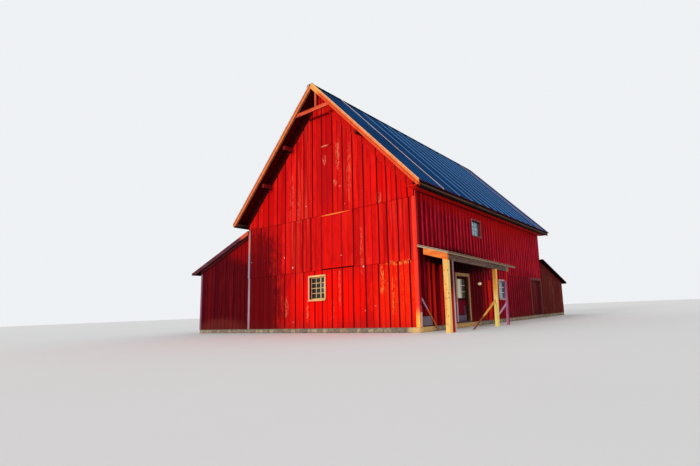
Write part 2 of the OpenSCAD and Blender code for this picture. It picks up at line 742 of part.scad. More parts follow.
module porch_beam()
    color("#8d8578") on_porch() along_y(rafter_y, porch_beam_end)
        polygon([[beam_x - porch_beam_t, rafter_low(beam_x)], [beam_x, rafter_low(beam_x)],
            [beam_x, porch_under(beam_x) - seat],
            [beam_x - porch_beam_t, porch_under(beam_x - porch_beam_t) - seat]]);

// Sloping rafter at the near end of the porch roof.
module porch_end_rafter()
    color("#d9792e") on_porch() along_y(-porch_near, rafter_y)
        polygon([[porch_rafter_x, rafter_low(porch_rafter_x)], [beam_x, rafter_low(beam_x)],
            [beam_x, porch_under(beam_x) - seat],
            [porch_rafter_x, porch_under(porch_rafter_x) - seat]]);

// A square post from the ground to the underside of the beam or end rafter. Its
// near face stands at distance v from the front gable wall.
module porch_post(v, w, lean)
    difference() {
        translate([0, -half_l, 0]) along_x(half_w + post_x - w, half_w + post_x)
            polygon([[v, 0], [v + w, 0], [v + w + lean, porch_front_z], [v + lean, porch_front_z]]);
        on_porch() {
            along_y(-10 * porch_near, rafter_y)
                polygon([[0, rafter_low(0) - seat], [2 * porch_d, rafter_low(2 * porch_d) - seat],
                    [2 * porch_d, porch_wall_z], [0, porch_wall_z]]);
            along_y(rafter_y, porch_l)
                polygon([[0, rafter_low(beam_x) - seat], [2 * porch_d, rafter_low(beam_x) - seat],
                    [2 * porch_d, porch_wall_z], [0, porch_wall_z]]);
        }
    }
module porch_posts()
    color(raw_wood) {
        porch_post(near_post_y, post_w, 0);
        porch_post(far_post_y, far_post_w, far_post_lean);
    }
module painted_posts()
    color(siding_red) {
        porch_post(near_painted_y, painted_post_w, 0);
        porch_post(far_painted_y, painted_post_w, far_post_lean);
    }

// Loose boards that lean under the porch: one from the ground to the far rough
// post, one between the two far posts, and a thin stick that leans along the wall
// against the back of the corner board.
module leaning_board(v0, z0, v1, z1)
    translate([0, -half_l, 0])
        along_x(half_w + post_x - painted_post_w, half_w + post_x - painted_post_w + loose_board_t)
            polygon([[v0, z0], [v0 + loose_board_w, z0], [v1, z1 - loose_board_w], [v1, z1]]);
module loose_boards()
    color(raw_wood) {
        difference() {
            union() {
                leaning_board(far_post_y - long_board_run, 0, far_post_y + far_post_w / 2, long_board_top);
                leaning_board(far_post_y + far_post_w / 2, short_board_low,
                    far_painted_y + painted_post_w, short_board_top);
            }
            for (y = [-seat, seat]) translate([0, y, 0]) {
                porch_posts();
                painted_posts();
            }
        }
        translate([half_w + sheet_t + seat, -half_l, 0]) along_x(0, loose_board_t)
            polygon([[corner_board_w + seat, stick_top - 2 * loose_board_t],
                [stick_foot_y - loose_board_t, 0], [stick_foot_y, 0],
                [corner_board_w + seat, stick_top]]);
    }

// Sheet that skirts the foot of the wall between the corner and the entrance.
module skirting_panel()
    color("#5d6577") block([half_w, skirting_y - half_l, skirting_z],
        [half_w + sheet_t, skirting_y + skirting_l - half_l, skirting_z + skirting_h]);

// Small lamp on the wall beside the entrance.
module porch_lamp()
    color("#e8dcc0") translate([half_w, lamp_y - half_l, lamp_z]) rotate([0, 90, 0]) {
        cylinder(r = 0.6 * lamp_r, h = lamp_r, $fn = 32);
        translate([0, 0, 1.4 * lamp_r]) sphere(r = lamp_r, $fn = 40);
    }

module lean_to_foundation()
    color(stone_grey) block([-lean_x, -half_l, 0], [-half_w, half_l, foundation_h]);

// Height of the left lean-to's roof underside at distance x from the ridge line.
function under_lean(x) = lean_wall_h + (lean_x - x) * lean_slope;
module lean_to_end(y0, y1)
    along_y(y0, y1)
        polygon([[-lean_x, wall_base], [-half_w, wall_base], [-half_w, lean_high_z - seat],
            [-lean_x, lean_wall_h - seat]]);
module lean_to_end_walls()
    color(siding_red) {
        lean_to_end(-half_l, -inner_y);
        lean_to_end(inner_y, half_l);
    }
module lean_to_side_wall()
    color(shade_red) along_y(-inner_y, inner_y)
        polygon([[-lean_x, wall_base], [-lean_x + wall_t, wall_base],
            [-lean_x + wall_t, under_lean(lean_x - wall_t) - seat], [-lean_x, lean_wall_h - seat]]);
module lean_to_roof()
    color(metal_blue) along_y(-half_l - lean_front, half_l + lean_front) {
        low_x = lean_x + lean_eave;
        polygon([[-half_w, lean_high_z], [-half_w, lean_high_z + lean_roof_t],
            [-low_x, under_lean(low_x) + lean_roof_t], [-low_x, under_lean(low_x)]]);
    }
module lean_to_barge()
    color(weathered) along_y(-half_l - lean_front - barge_t, -half_l - lean_front) {
        low_x = lean_x + lean_eave;
        intersection() {
            polygon([[-half_w, lean_high_z - lean_barge_d], [-half_w, lean_high_z + lean_roof_t],
                [-low_x, under_lean(low_x) + lean_roof_t], [-low_x, under_lean(low_x) - lean_barge_d]]);
            translate([-low_x, under_lean(low_x)]) square([low_x, lean_high_z]);
        }
    }

module rear_foundation()
    color(stone_grey) block([-half_w, half_l, 0], [half_w, rear_y, foundation_h]);
module rear_side(x0, x1)
    along_x(x0, x1)
        polygon([[half_l, wall_base], [rear_y, wall_base], [rear_y, rear_wall_h - seat],
            [half_l, rear_high_z - seat]]);
module rear_side_walls()
    color(shade_red) {
        rear_side(inner_x, half_w);
        rear_side(-half_w, -inner_x);
    }
module rear_end_wall()
    color(siding_red) along_x(-inner_x, inner_x)
        polygon([[rear_y - wall_t, wall_base], [rear_y, wall_base], [rear_y, rear_wall_h - seat],
            [rear_y - wall_t, rear_wall_h + wall_t * rear_slope - seat]]);
module rear_roof()
    color(metal_blue) along_x(-half_w - rear_side, half_w + rear_side) {
        low_y = rear_y + rear_eave;
        low_z = rear_wall_h - rear_eave * rear_slope;
        polygon([[half_l, rear_high_z], [low_y, low_z], [low_y, low_z + lean_roof_t],
            [half_l, rear_high_z + lean_roof_t]]);
    }

foundation();
front_wall();
rear_wall();
left_wall();
right_wall_front();
right_wall_middle();
right_wall_rear();
right_wall_over_doors();
loft_floor();
corner_boards();
roof_left();
roof_right();
ridge_cap();
front_barge_left();
front_barge_right();
rear_barges();
eave_fascias();
end_rafters();
lookouts();
peak_brace();
loft_doors();
window_frames();
window_glass();
entrance_frame();
entrance_door();
entrance_door_glass();
barn_door_frame();
barn_door();
porch_roof();
porch_beam();
porch_end_rafter();
porch_posts();
painted_posts();
loose_boards();
skirting_panel();
porch_lamp();
lean_to_foundation();
lean_to_end_walls();
lean_to_side_wall();
lean_to_roof();
lean_to_barge();
rear_foundation();
rear_side_walls();
rear_end_wall();
rear_roof();
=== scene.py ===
# %% [markdown]
# # A red timber barn
# The solids of this barn are already built: walls, roof slopes, barge boards,
# doors, porch. They load as a fixed frame, in metres, with the ground at z = 0.
# What this lesson adds is what the eye looks for: planks and battens, the ribs of
# the metal roof, window bars, stones and the finish of every surface.

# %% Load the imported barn
import bpy
import numpy as np
from mathutils import Matrix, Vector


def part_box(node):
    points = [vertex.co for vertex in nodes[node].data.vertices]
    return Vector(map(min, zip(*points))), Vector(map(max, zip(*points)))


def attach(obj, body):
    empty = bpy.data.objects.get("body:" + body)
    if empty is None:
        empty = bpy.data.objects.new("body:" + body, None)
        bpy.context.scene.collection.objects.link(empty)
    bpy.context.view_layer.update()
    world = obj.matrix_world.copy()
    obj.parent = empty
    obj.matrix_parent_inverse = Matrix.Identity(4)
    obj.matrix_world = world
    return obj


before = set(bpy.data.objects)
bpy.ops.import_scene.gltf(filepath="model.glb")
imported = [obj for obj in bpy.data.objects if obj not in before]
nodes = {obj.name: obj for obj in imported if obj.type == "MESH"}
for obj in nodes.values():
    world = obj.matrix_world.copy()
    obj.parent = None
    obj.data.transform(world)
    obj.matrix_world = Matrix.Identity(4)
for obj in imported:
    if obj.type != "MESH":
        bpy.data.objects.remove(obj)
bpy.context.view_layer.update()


def placed(name, data):
    """Puts a camera, a lamp or a mesh into the scene."""
    made = bpy.data.objects.new(name, data)
    bpy.context.scene.collection.objects.link(made)
    return made


# %% [markdown]
# ## The camera
# The barn was photographed from low down, near its front right corner. A camera
# could be aimed by hand until the edges line up. Here its place and its three
# angles are known, so the three axes of its view are written out: sideways, up
# and forward. A roll of two degrees tilts the first two. The small shift puts the
# middle of the view where the photograph was cut.

# %% Camera
photo_width, focal_length, shift_across, shift_up = 700, 427.722, -60, 10  # pixels
camera_place = 13.985, -21.116, 0.891
yaw, pitch, roll = np.radians([33.862, 8.755, -2.273])
forward = np.array([-np.sin(yaw) * np.cos(pitch), np.cos(yaw) * np.cos(pitch), np.sin(pitch)])
level = np.array([np.cos(yaw), np.sin(yaw), 0.0])
upright = np.cross(level, forward)
pose = np.eye(4)
pose[:3, 0] = level * np.cos(roll) + upright * np.sin(roll)
pose[:3, 1] = upright * np.cos(roll) - level * np.sin(roll)
pose[:3, 2], pose[:3, 3] = -forward, camera_place

lens = bpy.data.cameras.new("photo_camera")
lens.sensor_width, lens.clip_end = 36, 500
lens.lens = focal_length / photo_width * lens.sensor_width
lens.shift_x, lens.shift_y = shift_across / photo_width, shift_up / photo_width
camera = placed("photo_camera", lens)
camera.matrix_world = Matrix(pose.tolist())
bpy.context.scene.camera = camera
print("lens", round(lens.lens, 3), "mm")

# %% [markdown]
# ## Helpers for nodes
# A material is a small graph. Adding each node and each link by hand takes many
# lines, so `add` makes a node, sets its options and fills its inputs in one go.
# What it gives is a `Wire`, the output of that node. Arithmetic on wires adds
# Math nodes, so a mask can be written as the formula that it is. Colours are
# written as on a paint card, with two hexadecimal digits each for red, green and
# blue, and turned into the linear values that the renderer works with.

# %% Node helpers
class Wire:
    """One output of a node. Each sum on it adds a Math node, or a Vector Math node
    where the output is a vector."""

    def __init__(self, socket):
        self.socket, self.tree = socket, socket.id_data

    def sum(self, operation, *values):
        """The result of one operation on some values, this wire among them."""
        kind = "VectorMath" if self.socket.type == "VECTOR" else "Math"
        return add(self.tree, kind, dict(enumerate(values)), operation=operation)

    __add__ = lambda a, b: a.sum("ADD", a, b)
    __sub__ = lambda a, b: a.sum("SUBTRACT", a, b)
    __rsub__ = lambda a, b: a.sum("SUBTRACT", b, a)
    __mul__ = lambda a, b: a.sum("MULTIPLY", a, b)
    __truediv__ = lambda a, b: a.sum("DIVIDE", a, b)
    __gt__ = lambda a, b: a.sum("GREATER_THAN", a, b)
    __lt__ = lambda a, b: a.sum("LESS_THAN", a, b)
    __abs__ = lambda a: a.sum("ABSOLUTE", a)
    largest = lambda a, b: a.sum("MAXIMUM", a, b)


def paint(code):
    """A paint-card colour, such as #f0a040, as a linear colour with alpha 1."""
    card = np.array([int(code[i:i + 2], 16) for i in (1, 3, 5)]) / 255
    linear = np.where(card <= 0.04045, card / 12.92, ((card + 0.055) / 1.055) ** 2.4)
    return (*linear.tolist(), 1.0)


def add(tree, kind, inputs=(), out=0, **options):
    """Adds one node and gives the wire of one output. Inputs are named or numbered.
    A wire is linked, a colour code is painted, any other value is typed in."""
    made = tree.nodes.new("ShaderNode" + kind)
    for name, value in options.items():
        setattr(made, name, value)
    for name, value in dict(inputs).items():
        if isinstance(value, Wire):
            tree.links.new(value.socket, made.inputs[name])
        else:
            made.inputs[name].default_value = paint(value) if isinstance(value, str) else value
    return Wire(made.outputs[out])


def axes(vector):
    """The three numbers of a vector."""
    return [Wire(s) for s in add(vector.tree, "SeparateXYZ", {0: vector}).socket.node.outputs]


def spread(value, low, high, to_low=0.0, to_high=1.0):
    """Maps a value from one range onto another, with a smooth start and end."""
    return add(value.tree, "MapRange", {"Value": value, "From Min": low, "From Max": high,
               "To Min": to_low, "To Max": to_high}, "Result", interpolation_type="SMOOTHSTEP")


def blend(share, first, second, how="MIX"):
    """Mixes two colours by a share from 0 to 1."""
    tree = next(v.tree for v in (share, first, second) if isinstance(v, Wire))
    return add(tree, "Mix", {0: share, 6: first, 7: second}, 2, data_type="RGBA", blend_type=how)


print("wires ready")

# %% Texture and mask helpers
def cloud(place, scale, detail=3.0, roughness=0.5, out="Fac"):
    """The value of a noise texture at a place."""
    return add(place.tree, "TexNoise", {"Vector": place, "Scale": scale, "Detail": detail,
               "Roughness": roughness}, out)


def cells(place, scale):
    """The distance from the nearest of many scattered points."""
    return add(place.tree, "TexVoronoi", {"Vector": place, "Scale": scale}, "Distance")


def mapped(place, scale=(1, 1, 1), turn=0.0):
    """Scales a place along each axis and turns it about the Y axis."""
    return add(place.tree, "Mapping", {"Vector": place, "Rotation": (0, turn, 0), "Scale": scale})


def saw_joint(value, step, width):
    """1 in a joint of a given share of each step: the fraction of value / step."""
    part = value / step
    return part.sum("FRACT", part) < width


def facing(place, axis, sign=1):
    """1 on faces that look along an axis (0, 1 or 2) in the given direction: the
    normal's share along it is over 0.6."""
    normal = add(place.tree, "NewGeometry", out="Normal")
    return axes(normal)[axis] * sign > 0.6


def in_box(place, low, high):
    """1 inside a box between two corners. There the largest of the three distances
    from the middle, each divided by half the box's size, is less than 1."""
    middle, half = (np.array(high) + low) / 2, (np.array(high) - low) / 2
    x, y, z = axes(abs((place - middle.tolist()) / half.tolist()))
    return x.largest(y.largest(z)) < 1.0


def strip_of(place):
    """The three numbers that the attribute named strip carries."""
    return axes(add(place.tree, "Attribute", out="Vector", attribute_name="strip"))


print("masks ready")

# %% Finish helpers
finishes = {}


def finish_of(name, roughness=0.8, matt=0.5):
    """The tree of a new material, and the place on the object as a wire. The matt
    value is the specular level, which is low on old paint and dry wood."""
    made = finishes[name] = bpy.data.materials.new(name)
    made.use_nodes = True
    shader = made.node_tree.nodes["Principled BSDF"].inputs
    shader["Roughness"].default_value = roughness
    shader["Specular IOR Level"].default_value = matt
    print("finish", name)
    return made.node_tree, add(made.node_tree, "TexCoord", out="Object")


def coat(tree, colour, height=None, strength=0.5, distance=0.004, **others):
    """Links a colour to the shader, and a height through a Bump node."""
    wires = {"Base Color": colour, **others}
    if height is not None:
        wires["Normal"] = add(tree, "Bump", {"Height": height, "Strength": strength,
                                             "Distance": distance})
    for label, wire in wires.items():
        tree.links.new(wire.socket, tree.nodes["Principled BSDF"].inputs[label])


def table(text):
    """Rows of a table that is written as text: numbers, words and colour codes."""
    return [[float(v) if v[0] in "-0123456789" else v for v in line.split()]
            for line in text.strip().splitlines()]


print("finish helpers ready")

# %% [markdown]
# ## Effects that many finishes share
# Weathered timber shows the same few things everywhere: grain that runs along the
# board, paint that has let go in patches and along edges, pale flecks, and dirt
# near the ground. Each is a node group, built once. A group puts out masks and
# values only, so every finish decides by itself what colour they bring.

# %% Groups
def effect(name, **inputs):
    """A new node group with named inputs. Gives the group and a wire of each."""
    group = bpy.data.node_groups.new(name, "ShaderNodeTree")
    for label, start in inputs.items():
        kind = "Vector" if isinstance(start, tuple) else "Float"
        group.interface.new_socket(name=label, in_out="INPUT",
                                   socket_type="NodeSocket" + kind).default_value = start
    sockets = group.nodes.new("NodeGroupInput").outputs
    return group, *(Wire(sockets[label]) for label in inputs)


def give(group, **outputs):
    """Names the outputs of a node group and links a wire to each."""
    for label in outputs:
        group.interface.new_socket(name=label, in_out="OUTPUT", socket_type="NodeSocketFloat")
    ends = group.nodes.new("NodeGroupOutput").inputs
    for label, wire in outputs.items():
        group.links.new(wire.socket, ends[label])
    print("effect", group.name, "puts out", *outputs)


def use(group, **inputs):
    """Places a node group in a material. Gives the wires of all its outputs."""
    made = add(inputs["Place"].tree, "Group", inputs, node_tree=group)
    return [Wire(socket) for socket in made.socket.node.outputs]


print("group helpers ready")

# %% Effect: grain along a board
grain, place, along, tone = effect("timber_grain", Place=(0, 0, 0), Along=(1, 1, 0.06), Piece=0.0)
shift = add(grain, "CombineXYZ", {i: tone * far for i, far in enumerate((37.0, 61.0, 83.0))})
drawn = (place + shift) * along
fibres, streaks = cloud(drawn, 90.0, 4.0, 0.65), cloud(drawn, 9.0, 3.0, 0.6)
give(grain, Fibres=fibres, Streaks=streaks, Height=fibres * 0.6 + streaks * 0.4)

# %% Effect: paint that has let go
wear, place, along, amount, fibres = effect(
    "paint_wear", Place=(0, 0, 0), Along=(1, 1, 0.3), Amount=0.3, Fibres=0.5)
drawn = place * along
patches = cloud(drawn, 2.6, 5.0, 0.62) + (fibres - 0.5) * 0.35
edge = 0.82 - amount * 0.35
give(wear, Bare=spread(patches, edge, edge + 0.05),
     Faded=spread(cloud(drawn, 1.1, 3.0, 0.5), 0.45, 0.7),
     Mottled=spread(cloud(drawn, 6.0, 5.0, 0.7), 0.42, 0.66))

# %% Effect: pale flecks where flakes of paint have gone
flecks, place, amount = effect("paint_flecks", Place=(0, 0, 0), Amount=0.3)
drawn = place * (1, 1, 0.6)
bent = drawn + add(flecks, "VectorMath", {0: cloud(drawn, 30.0, 2.0, out="Color"), "Scale": 0.05},
                   operation="SCALE")
size = spread(cloud(place, 1.3, 2.0, 0.6), 0.76 - amount * 0.3, 0.8) * 0.28
give(flecks, Fleck=(cells(bent, 8.0) < size).largest(cells(bent, 1.5) < 0.028))

# %% Effect: dirt near the ground
dirt, place, reach = effect("foot_dirt", Place=(0, 0, 0), Reach=0.6)
ragged = axes(place)[2] + cloud(place, 3.0, 4.0, 0.6) * -0.5
give(dirt, Dirt=spread(ragged, reach, -0.3))

# %% Effect: a soft spot around a place
spot, place, centre, reach, ragged = effect(
    "soft_spot", Place=(0, 0, 0), Centre=(0, 0, 0), Reach=(1, 1, 1), Ragged=0.5)
far = add(spot, "VectorMath", {0: (place - centre) / reach}, "Value", operation="LENGTH")
give(spot, Inside=spread(far + ragged, 1.0, 0.45))

# %% [markdown]
# ## Where a colour changes
# Old paint isn't one colour. Some changes are soft and ragged, such as sun, damp
# and worn places; others have sharp edges, such as shadows and single boards. The
# first are spots and the second are boxes. Both are kept in tables with one row
# each, so a place is easy to find and to change.

# %% Spots and boxes
corner_x, corner_y = 5.18, 7.535  # half the width and half the length of the main block
gable_y, through = -7.55, 30.0  # the gable's face, and a reach that goes through the barn


def spotted(colour, place, spots, ragged=0.8):
    """Tints a colour in soft, ragged spots. A row holds the centre, the reach, the
    tint and the share. One more value breaks the spot up into flakes."""
    noise = (cloud(mapped(place, (1, 1, 0.4)), 7.0, 4.0, 0.6) - 0.5) * ragged
    flakes = spread(cloud(mapped(place, (1, 1, 0.35)), 13.0, 4.0, 0.8), 0.5, 0.55)
    for x, y, z, wide, deep, high, tint, share, *flaky in spots:
        inside, = use(spot, Place=place, Centre=(x, y, z), Reach=(wide, deep, high), Ragged=noise)
        colour = blend(inside * (flakes * share if flaky else share), colour, tint)
    return colour


def wall_spots(gable="", side=""):
    """Spots on the gable and on the right wall. A row holds the distance from the
    left or near corner, the height, two reaches, tint, share, and 1 if flaky."""
    return [(u - corner_x, gable_y, z, wide, through, high, *rest)
            for u, z, wide, high, *rest in table(gable)] + [
                (corner_x, v - corner_y, z, through, wide, high, *rest)
                for v, z, wide, high, *rest in table(side)]


def boxed(colour, place, areas, dull=None):
    """Tints boxes with sharp edges. A row holds two corners, the tint and the share.
    The tint is multiplied by the dull value, which lets the grain show through."""
    for *corners, tint, share in areas:
        shown = tint if dull is None else blend(1.0, tint, dull, "MULTIPLY")
        colour = blend(in_box(place, corners[:3], corners[3:]) * share, colour, shown)
    return colour


print("corner of the main block", corner_x, corner_y)

# %% [markdown]
# ## Painted siding
# The gable faces the light and is painted a strong clear red, as lit by the sun,
# with pink and orange strips where the paint has faded and small white flecks where
# it has flaked. The side wall is painted a deeper crimson, as in shade. One recipe
# makes both: each plank carries its own tone in an attribute named `strip`, whose
# three numbers are the place across the plank, the metres along it, and the tone.
# Tones above 1 mark battens, which are paler than the boards they cover. A purple
# rim on each plank's left edge is painted light from the sky.

# %% Siding recipe
def siding(name, colours, worn=0.3, flecked=0.3, spots=(), areas=(), skylit_rim=None):
    """Painted planks. The colours are deep, clear, batten, faded and bare; a plank's
    tone says how far it lies from deep to clear."""
    deep, clear, batten, faded_paint, bare_wood = colours.split()
    tree, place = finish_of(name, 0.72, 0.03)
    across, _, tone = strip_of(place)
    plank = tone > 0.05
    fibres, streaks, height = use(grain, Place=place, Along=(1, 1, 0.05), Piece=tone)
    bare, faded, mottled = use(wear, Place=place, Along=(1, 1, 0.25), Amount=worn, Fibres=fibres)
    fleck, = use(flecks, Place=place, Amount=flecked)
    foot, = use(dirt, Place=place, Reach=0.5)
    colour = blend(tone.sum("FRACT", tone) + (1.0 - plank) * 0.6, deep, clear)
    colour = blend(tone > 1.0, colour, batten)
    colour = blend(mottled * 0.55, colour, deep)
    colour = blend(spread(streaks, 0.45, 0.7, 0.0, 0.5), colour, deep)
    colour = blend(faded * spread(streaks, 0.35, 0.55, 0.6, 0.0), colour, faded_paint)
    colour = boxed(spotted(colour, place, spots), place, areas, streaks + 0.6)
    colour = blend(bare * 0.85, colour, bare_wood)
    colour = blend(fleck, colour, "#f5beaa")
    # Painted light: a thin purple rim on each plank's left edge, lit only by the sky.
    if skylit_rim:
        colour = blend(spread(across, 0.16, 0.04, 0.0, 0.65) * plank, colour, skylit_rim)
    colour = blend(spread(across, 0.95, 1.0, 0.0, 0.7) * plank, colour, deep)
    colour = blend(foot * 0.35, colour, "#5c281c")
    coat(tree, colour, height - bare * 0.6, Roughness=spread(fibres, 0.3, 0.7, 0.6, 0.9))


print("siding recipe ready")

# %% Siding in the sun
# Painted light and shade on the gable: the first box paints sunlight on the planks above the collar's
# shadow, the second paints that shadow, and the first two spots paint a soft shadow over the left of
# the gable.
siding("sunlit_red", "#ba0406 #fa1a10 #f42218 #f43e2c #f08460",
       worn=0.12, flecked=0.4, skylit_rim="#7a1428", areas=table("""
    0.0 -7.7 10.05 1.3 -7.4 10.6 #ff2c10 0.5
    -0.62 -7.7 9.96 1.25 -7.4 10.06 #460406 0.8"""), spots=wall_spots("""
    0.6 1.4 3.0 3.6 #540006 0.92
    0.4 4.0 2.6 1.7 #600006 0.8
    1.6 6.3 2.6 1.1 #dc0804 0.5
    9.6 6.2 2.0 1.4 #ff0e04 0.5
    5.6 1.5 3.2 1.7 #ff0e00 0.95
    9.6 1.3 1.9 2.2 #ff2004 0.9
    5.6 7.3 0.7 2.6 #b00a10 0.45
    6.34 1.95 0.07 1.1 #f08460 0.66 1
    8.66 2.1 0.14 0.8 #ff9640 0.66 1
    9.19 1.4 0.09 0.9 #ff9640 0.66 1
    9.5 2.7 0.8 0.12 #ff9640 0.8 1
    9.6 1.6 1.0 1.4 #ff9640 0.07 1
    10.25 2.1 0.07 1.6 #ff6020 0.7
    5.57 7.8 0.16 0.3 #f08460 0.66 1
    6.36 7.9 0.16 1.0 #f08460 0.66 1
    6.17 6.6 0.22 0.2 #f08460 0.8 1
    6.47 6.39 0.07 0.07 #fa5054 0.9
    7.0 6.9 0.14 1.6 #f08460 0.4 1
    8.64 5.5 0.18 0.35 #f08460 0.66 1
    3.35 6.4 0.2 1.6 #f46854 0.4 1
    3.85 5.9 0.14 1.0 #f46854 0.5 1
    2.9 1.2 0.2 0.6 #f08460 0.6 1
    4.35 0.9 0.1 0.6 #f08460 0.6 1
    5.9 0.95 0.12 0.6 #f08460 0.4 1
    7.6 3.4 0.12 1.6 #f08460 0.35 1
    3.38 3.02 0.05 0.07 #ffbeb4 1.0
    7.68 2.71 0.05 0.05 #ffbeb4 1.0
    5.62 8.44 0.3 0.03 #faaa78 0.9
    6.1 5.19 1.1 0.035 #ff9640 0.8"""))

# %% Siding in the shade
# Strips of evening light under the porch: from v0 to v1 along the wall, up to a top.
lit_strips = [(5.0, v0 - corner_y, 0.2, 5.4, v1 - corner_y, top, tint, 0.88)
              for v0, v1, top, tint in table("""
    0.65 0.85 2.7 #ce1a10
    1.02 1.22 2.66 #de1e10
    1.6 1.79 2.64 #de180c
    5.89 6.09 2.15 #c4140a
    6.33 6.72 2.16 #ec220a""")]
seam_line = (5.0, 1.17, 2.44, 5.4, 5.07, 2.485, "#38000a", 0.6)
# Painted shade: on the right wall the spots at 2.6, 3.2 and 5.0 m darken the boards under the porch
# roof, near black just under it.
siding("shade_red", "#5a000a #84020e #de1636 #c8283c #c46e60",
       worn=0.05, flecked=0.12, areas=[*lit_strips, seam_line], spots=wall_spots(side="""
    7.0 5.4 9.5 0.7 #c80e06 0.7
    10.0 4.6 4.5 0.8 #be0c06 0.4
    12.0 0.8 5.0 2.6 #460210 0.6
    2.6 1.0 4.6 2.3 #5c0006 0.75
    3.2 2.85 4.6 0.72 #140002 0.95
    5.0 1.4 0.95 1.6 #54000a 0.8"""))
siding("lean_red", "#3e0008 #700410 #60040e #7a141e #ba6e60",
       worn=0.1, flecked=0.45, spots=table("""
    -5.3 -7.5 4.6 2.2 30.0 1.3 #960404 0.8
    -7.5 -7.5 0.3 2.6 30.0 0.6 #8c3c32 0.3"""))
siding("rear_red", "#421010 #701c1a #782622 #8c4c3c #a67054", worn=0.5)
siding("door_red", "#40080e #70121e #70121e #823c3c #a06e60")
tree, place = finish_of("gap_shade", 0.9, 0.1)
coat(tree, blend(cloud(place, 4.0), "#0e0002", "#2c0206"))

# %% [markdown]
# ## Bare and weathered timber
# The rough posts are pale yellow sawn wood with knots. The barge boards have lost
# most of their paint and glow orange. The porch beam has gone grey. The grain has
# to run along each piece, so the recipe takes the three factors by which the
# place is squeezed: a small factor draws the pattern out along that axis. On the
# sloping pieces the place is turned first.

# %% Timber finish
rake = np.radians(45.6)
roof_slope = np.tan(rake)


def timber(name, colours, along=(1, 1, 0.06), turn=0.0, knots=0.0, stain=None, stain_share=0.3,
           cracks=0.4, spots=(), areas=(), above=(), sides=(), lines=None):
    """Unpainted or nearly bare timber with fibres, stains, cracks and knots, from
    its dark, middle and light colour. Above holds (level, tint, share) for what
    lies over a line parallel to the main roof that starts at that level on the
    ridge. Sides are (axis, sign, tint, share); lines are (axis, step)."""
    dark, middle, light = colours.split()
    tree, raw = finish_of(name, 0.8, 0.08)
    place = mapped(raw, turn=turn)
    fibres, streaks, height = use(grain, Place=place, Along=along)
    colour = blend(spread(streaks, 0.3, 0.7), dark, middle)
    colour = blend(spread(fibres, 0.45, 0.75, 0.0, 0.7), colour, light)
    if stain:
        bare, faded, _ = use(wear, Place=place, Along=[0.25 + 0.75 * a for a in along],
                             Amount=stain_share, Fibres=fibres)
        colour = blend(faded * 0.35, blend(bare, colour, stain), stain)
    if knots:
        ring = cells(place * [0.35 + 0.65 * a for a in along], 3.4)
        knot = spread(ring, 0.085 * knots, 0.045 * knots)
        colour = blend(knot, colour, "#783e1a")
        height = height - knot * 0.4
    for axis, sign, tint, share in sides:
        colour = blend(facing(raw, axis, sign) * share, colour, tint)
    dull = streaks + 0.5
    colour = boxed(colour, raw, areas, dull)
    x, _, z = axes(raw)
    for start, tint, share in above:
        over = z + abs(x) * roof_slope > start
        colour = blend(over * share, colour, blend(1.0, tint, dull, "MULTIPLY"))
    colour = spotted(colour, raw, spots, 0.4)
    split = spread(cloud(place * along, 26.0, 2.0, 0.4), 0.30, 0.26)
    if lines:
        axis, step = lines
        split = split.largest(saw_joint(axes(raw)[axis], step, 0.07))
    colour = blend(split * cracks, colour, "#240c08")
    coat(tree, colour, height - split * 0.7, 0.6, 0.006)


# Painted shade: faces that look down are darkened.
underside_shade = [(2, -1, "#140605", 0.95)]
print("timber recipe ready")

# %% Timber of the roof edges
peak_z = 11.35
# On both barges the dark band is a painted shadow under the proud top strip, and the palest band along
# the top edge is a painted highlight.
timber(
    "barge_right_wood", "#de4218 #f45828 #fc7a4a", (0.05, 1, 1), rake,
    stain="#e82c10", cracks=0.1, sides=underside_shade, above=[
        (peak_z + 0.035, "#78160c", 0.8), (peak_z + 0.07, "#ff9656", 0.85),
        (peak_z + 0.195, "#fabe96", 0.8)],
    spots=table("0.2 -8.1 11.3 0.8 0.3 0.8 #ffba60 0.7"))
timber(
    "barge_left_wood", "#542214 #78341c #964c2c", (0.05, 1, 1), -rake,
    stain="#5a281e", cracks=0.2, sides=underside_shade, above=[
        (peak_z - 0.16, "#f47c3e", 0.92), (peak_z + 0.04, "#3c1610", 0.95),
        (peak_z + 0.14, "#ecc8bc", 0.95)])
# The brace's undersides are darkened as well: painted shade.
timber("brace_wood", "#ce3c20 #f06038 #fa8860", (0.06, 1, 0.3),
       stain="#a03c32", sides=[(2, -1, "#60140e", 0.9)])
# Painted shadow: the fascia's top under the sheets' drip edge and its lower part over the soffit are
# near black. The soffit's inner part and front tip are painted red like the walls.
timber("fascia_wood", "#4e2e20 #744e3a #966e54", (1, 0.04, 1),
       stain="#40261e", stain_share=0.4, sides=underside_shade, areas=table("""
    5.0 -9.0 5.54 7.0 9.0 6.0 #181416 0.95
    5.6 -9.0 5.0 7.0 9.0 5.49 #180a08 0.95
    5.0 -9.0 5.4 5.47 9.0 5.5 #be0e0a 0.95
    5.0 -8.2 5.3 5.77 -8.07 5.62 #ec1e0e 0.95
    5.0 -8.2 5.3 5.55 -7.87 5.6 #ec1e0e 0.95
    5.0 -8.2 5.3 5.35 -7.67 5.6 #ec1e0e 0.95"""))
timber("rear_trim_wood", "#78484e #b0766c #cc9682", (0.05, 1, 1), rake,
       stain="#78383c", areas=table("5.0 5.0 0.0 5.4 7.54 2.7 #702c30 0.9"))
timber("lean_trim_wood", "#461a24 #68303c #965868", (0.06, 1, 0.4),
       sides=underside_shade, spots=table("-5.4 -7.9 5.1 0.7 0.8 0.5 #e4603c 0.9"))

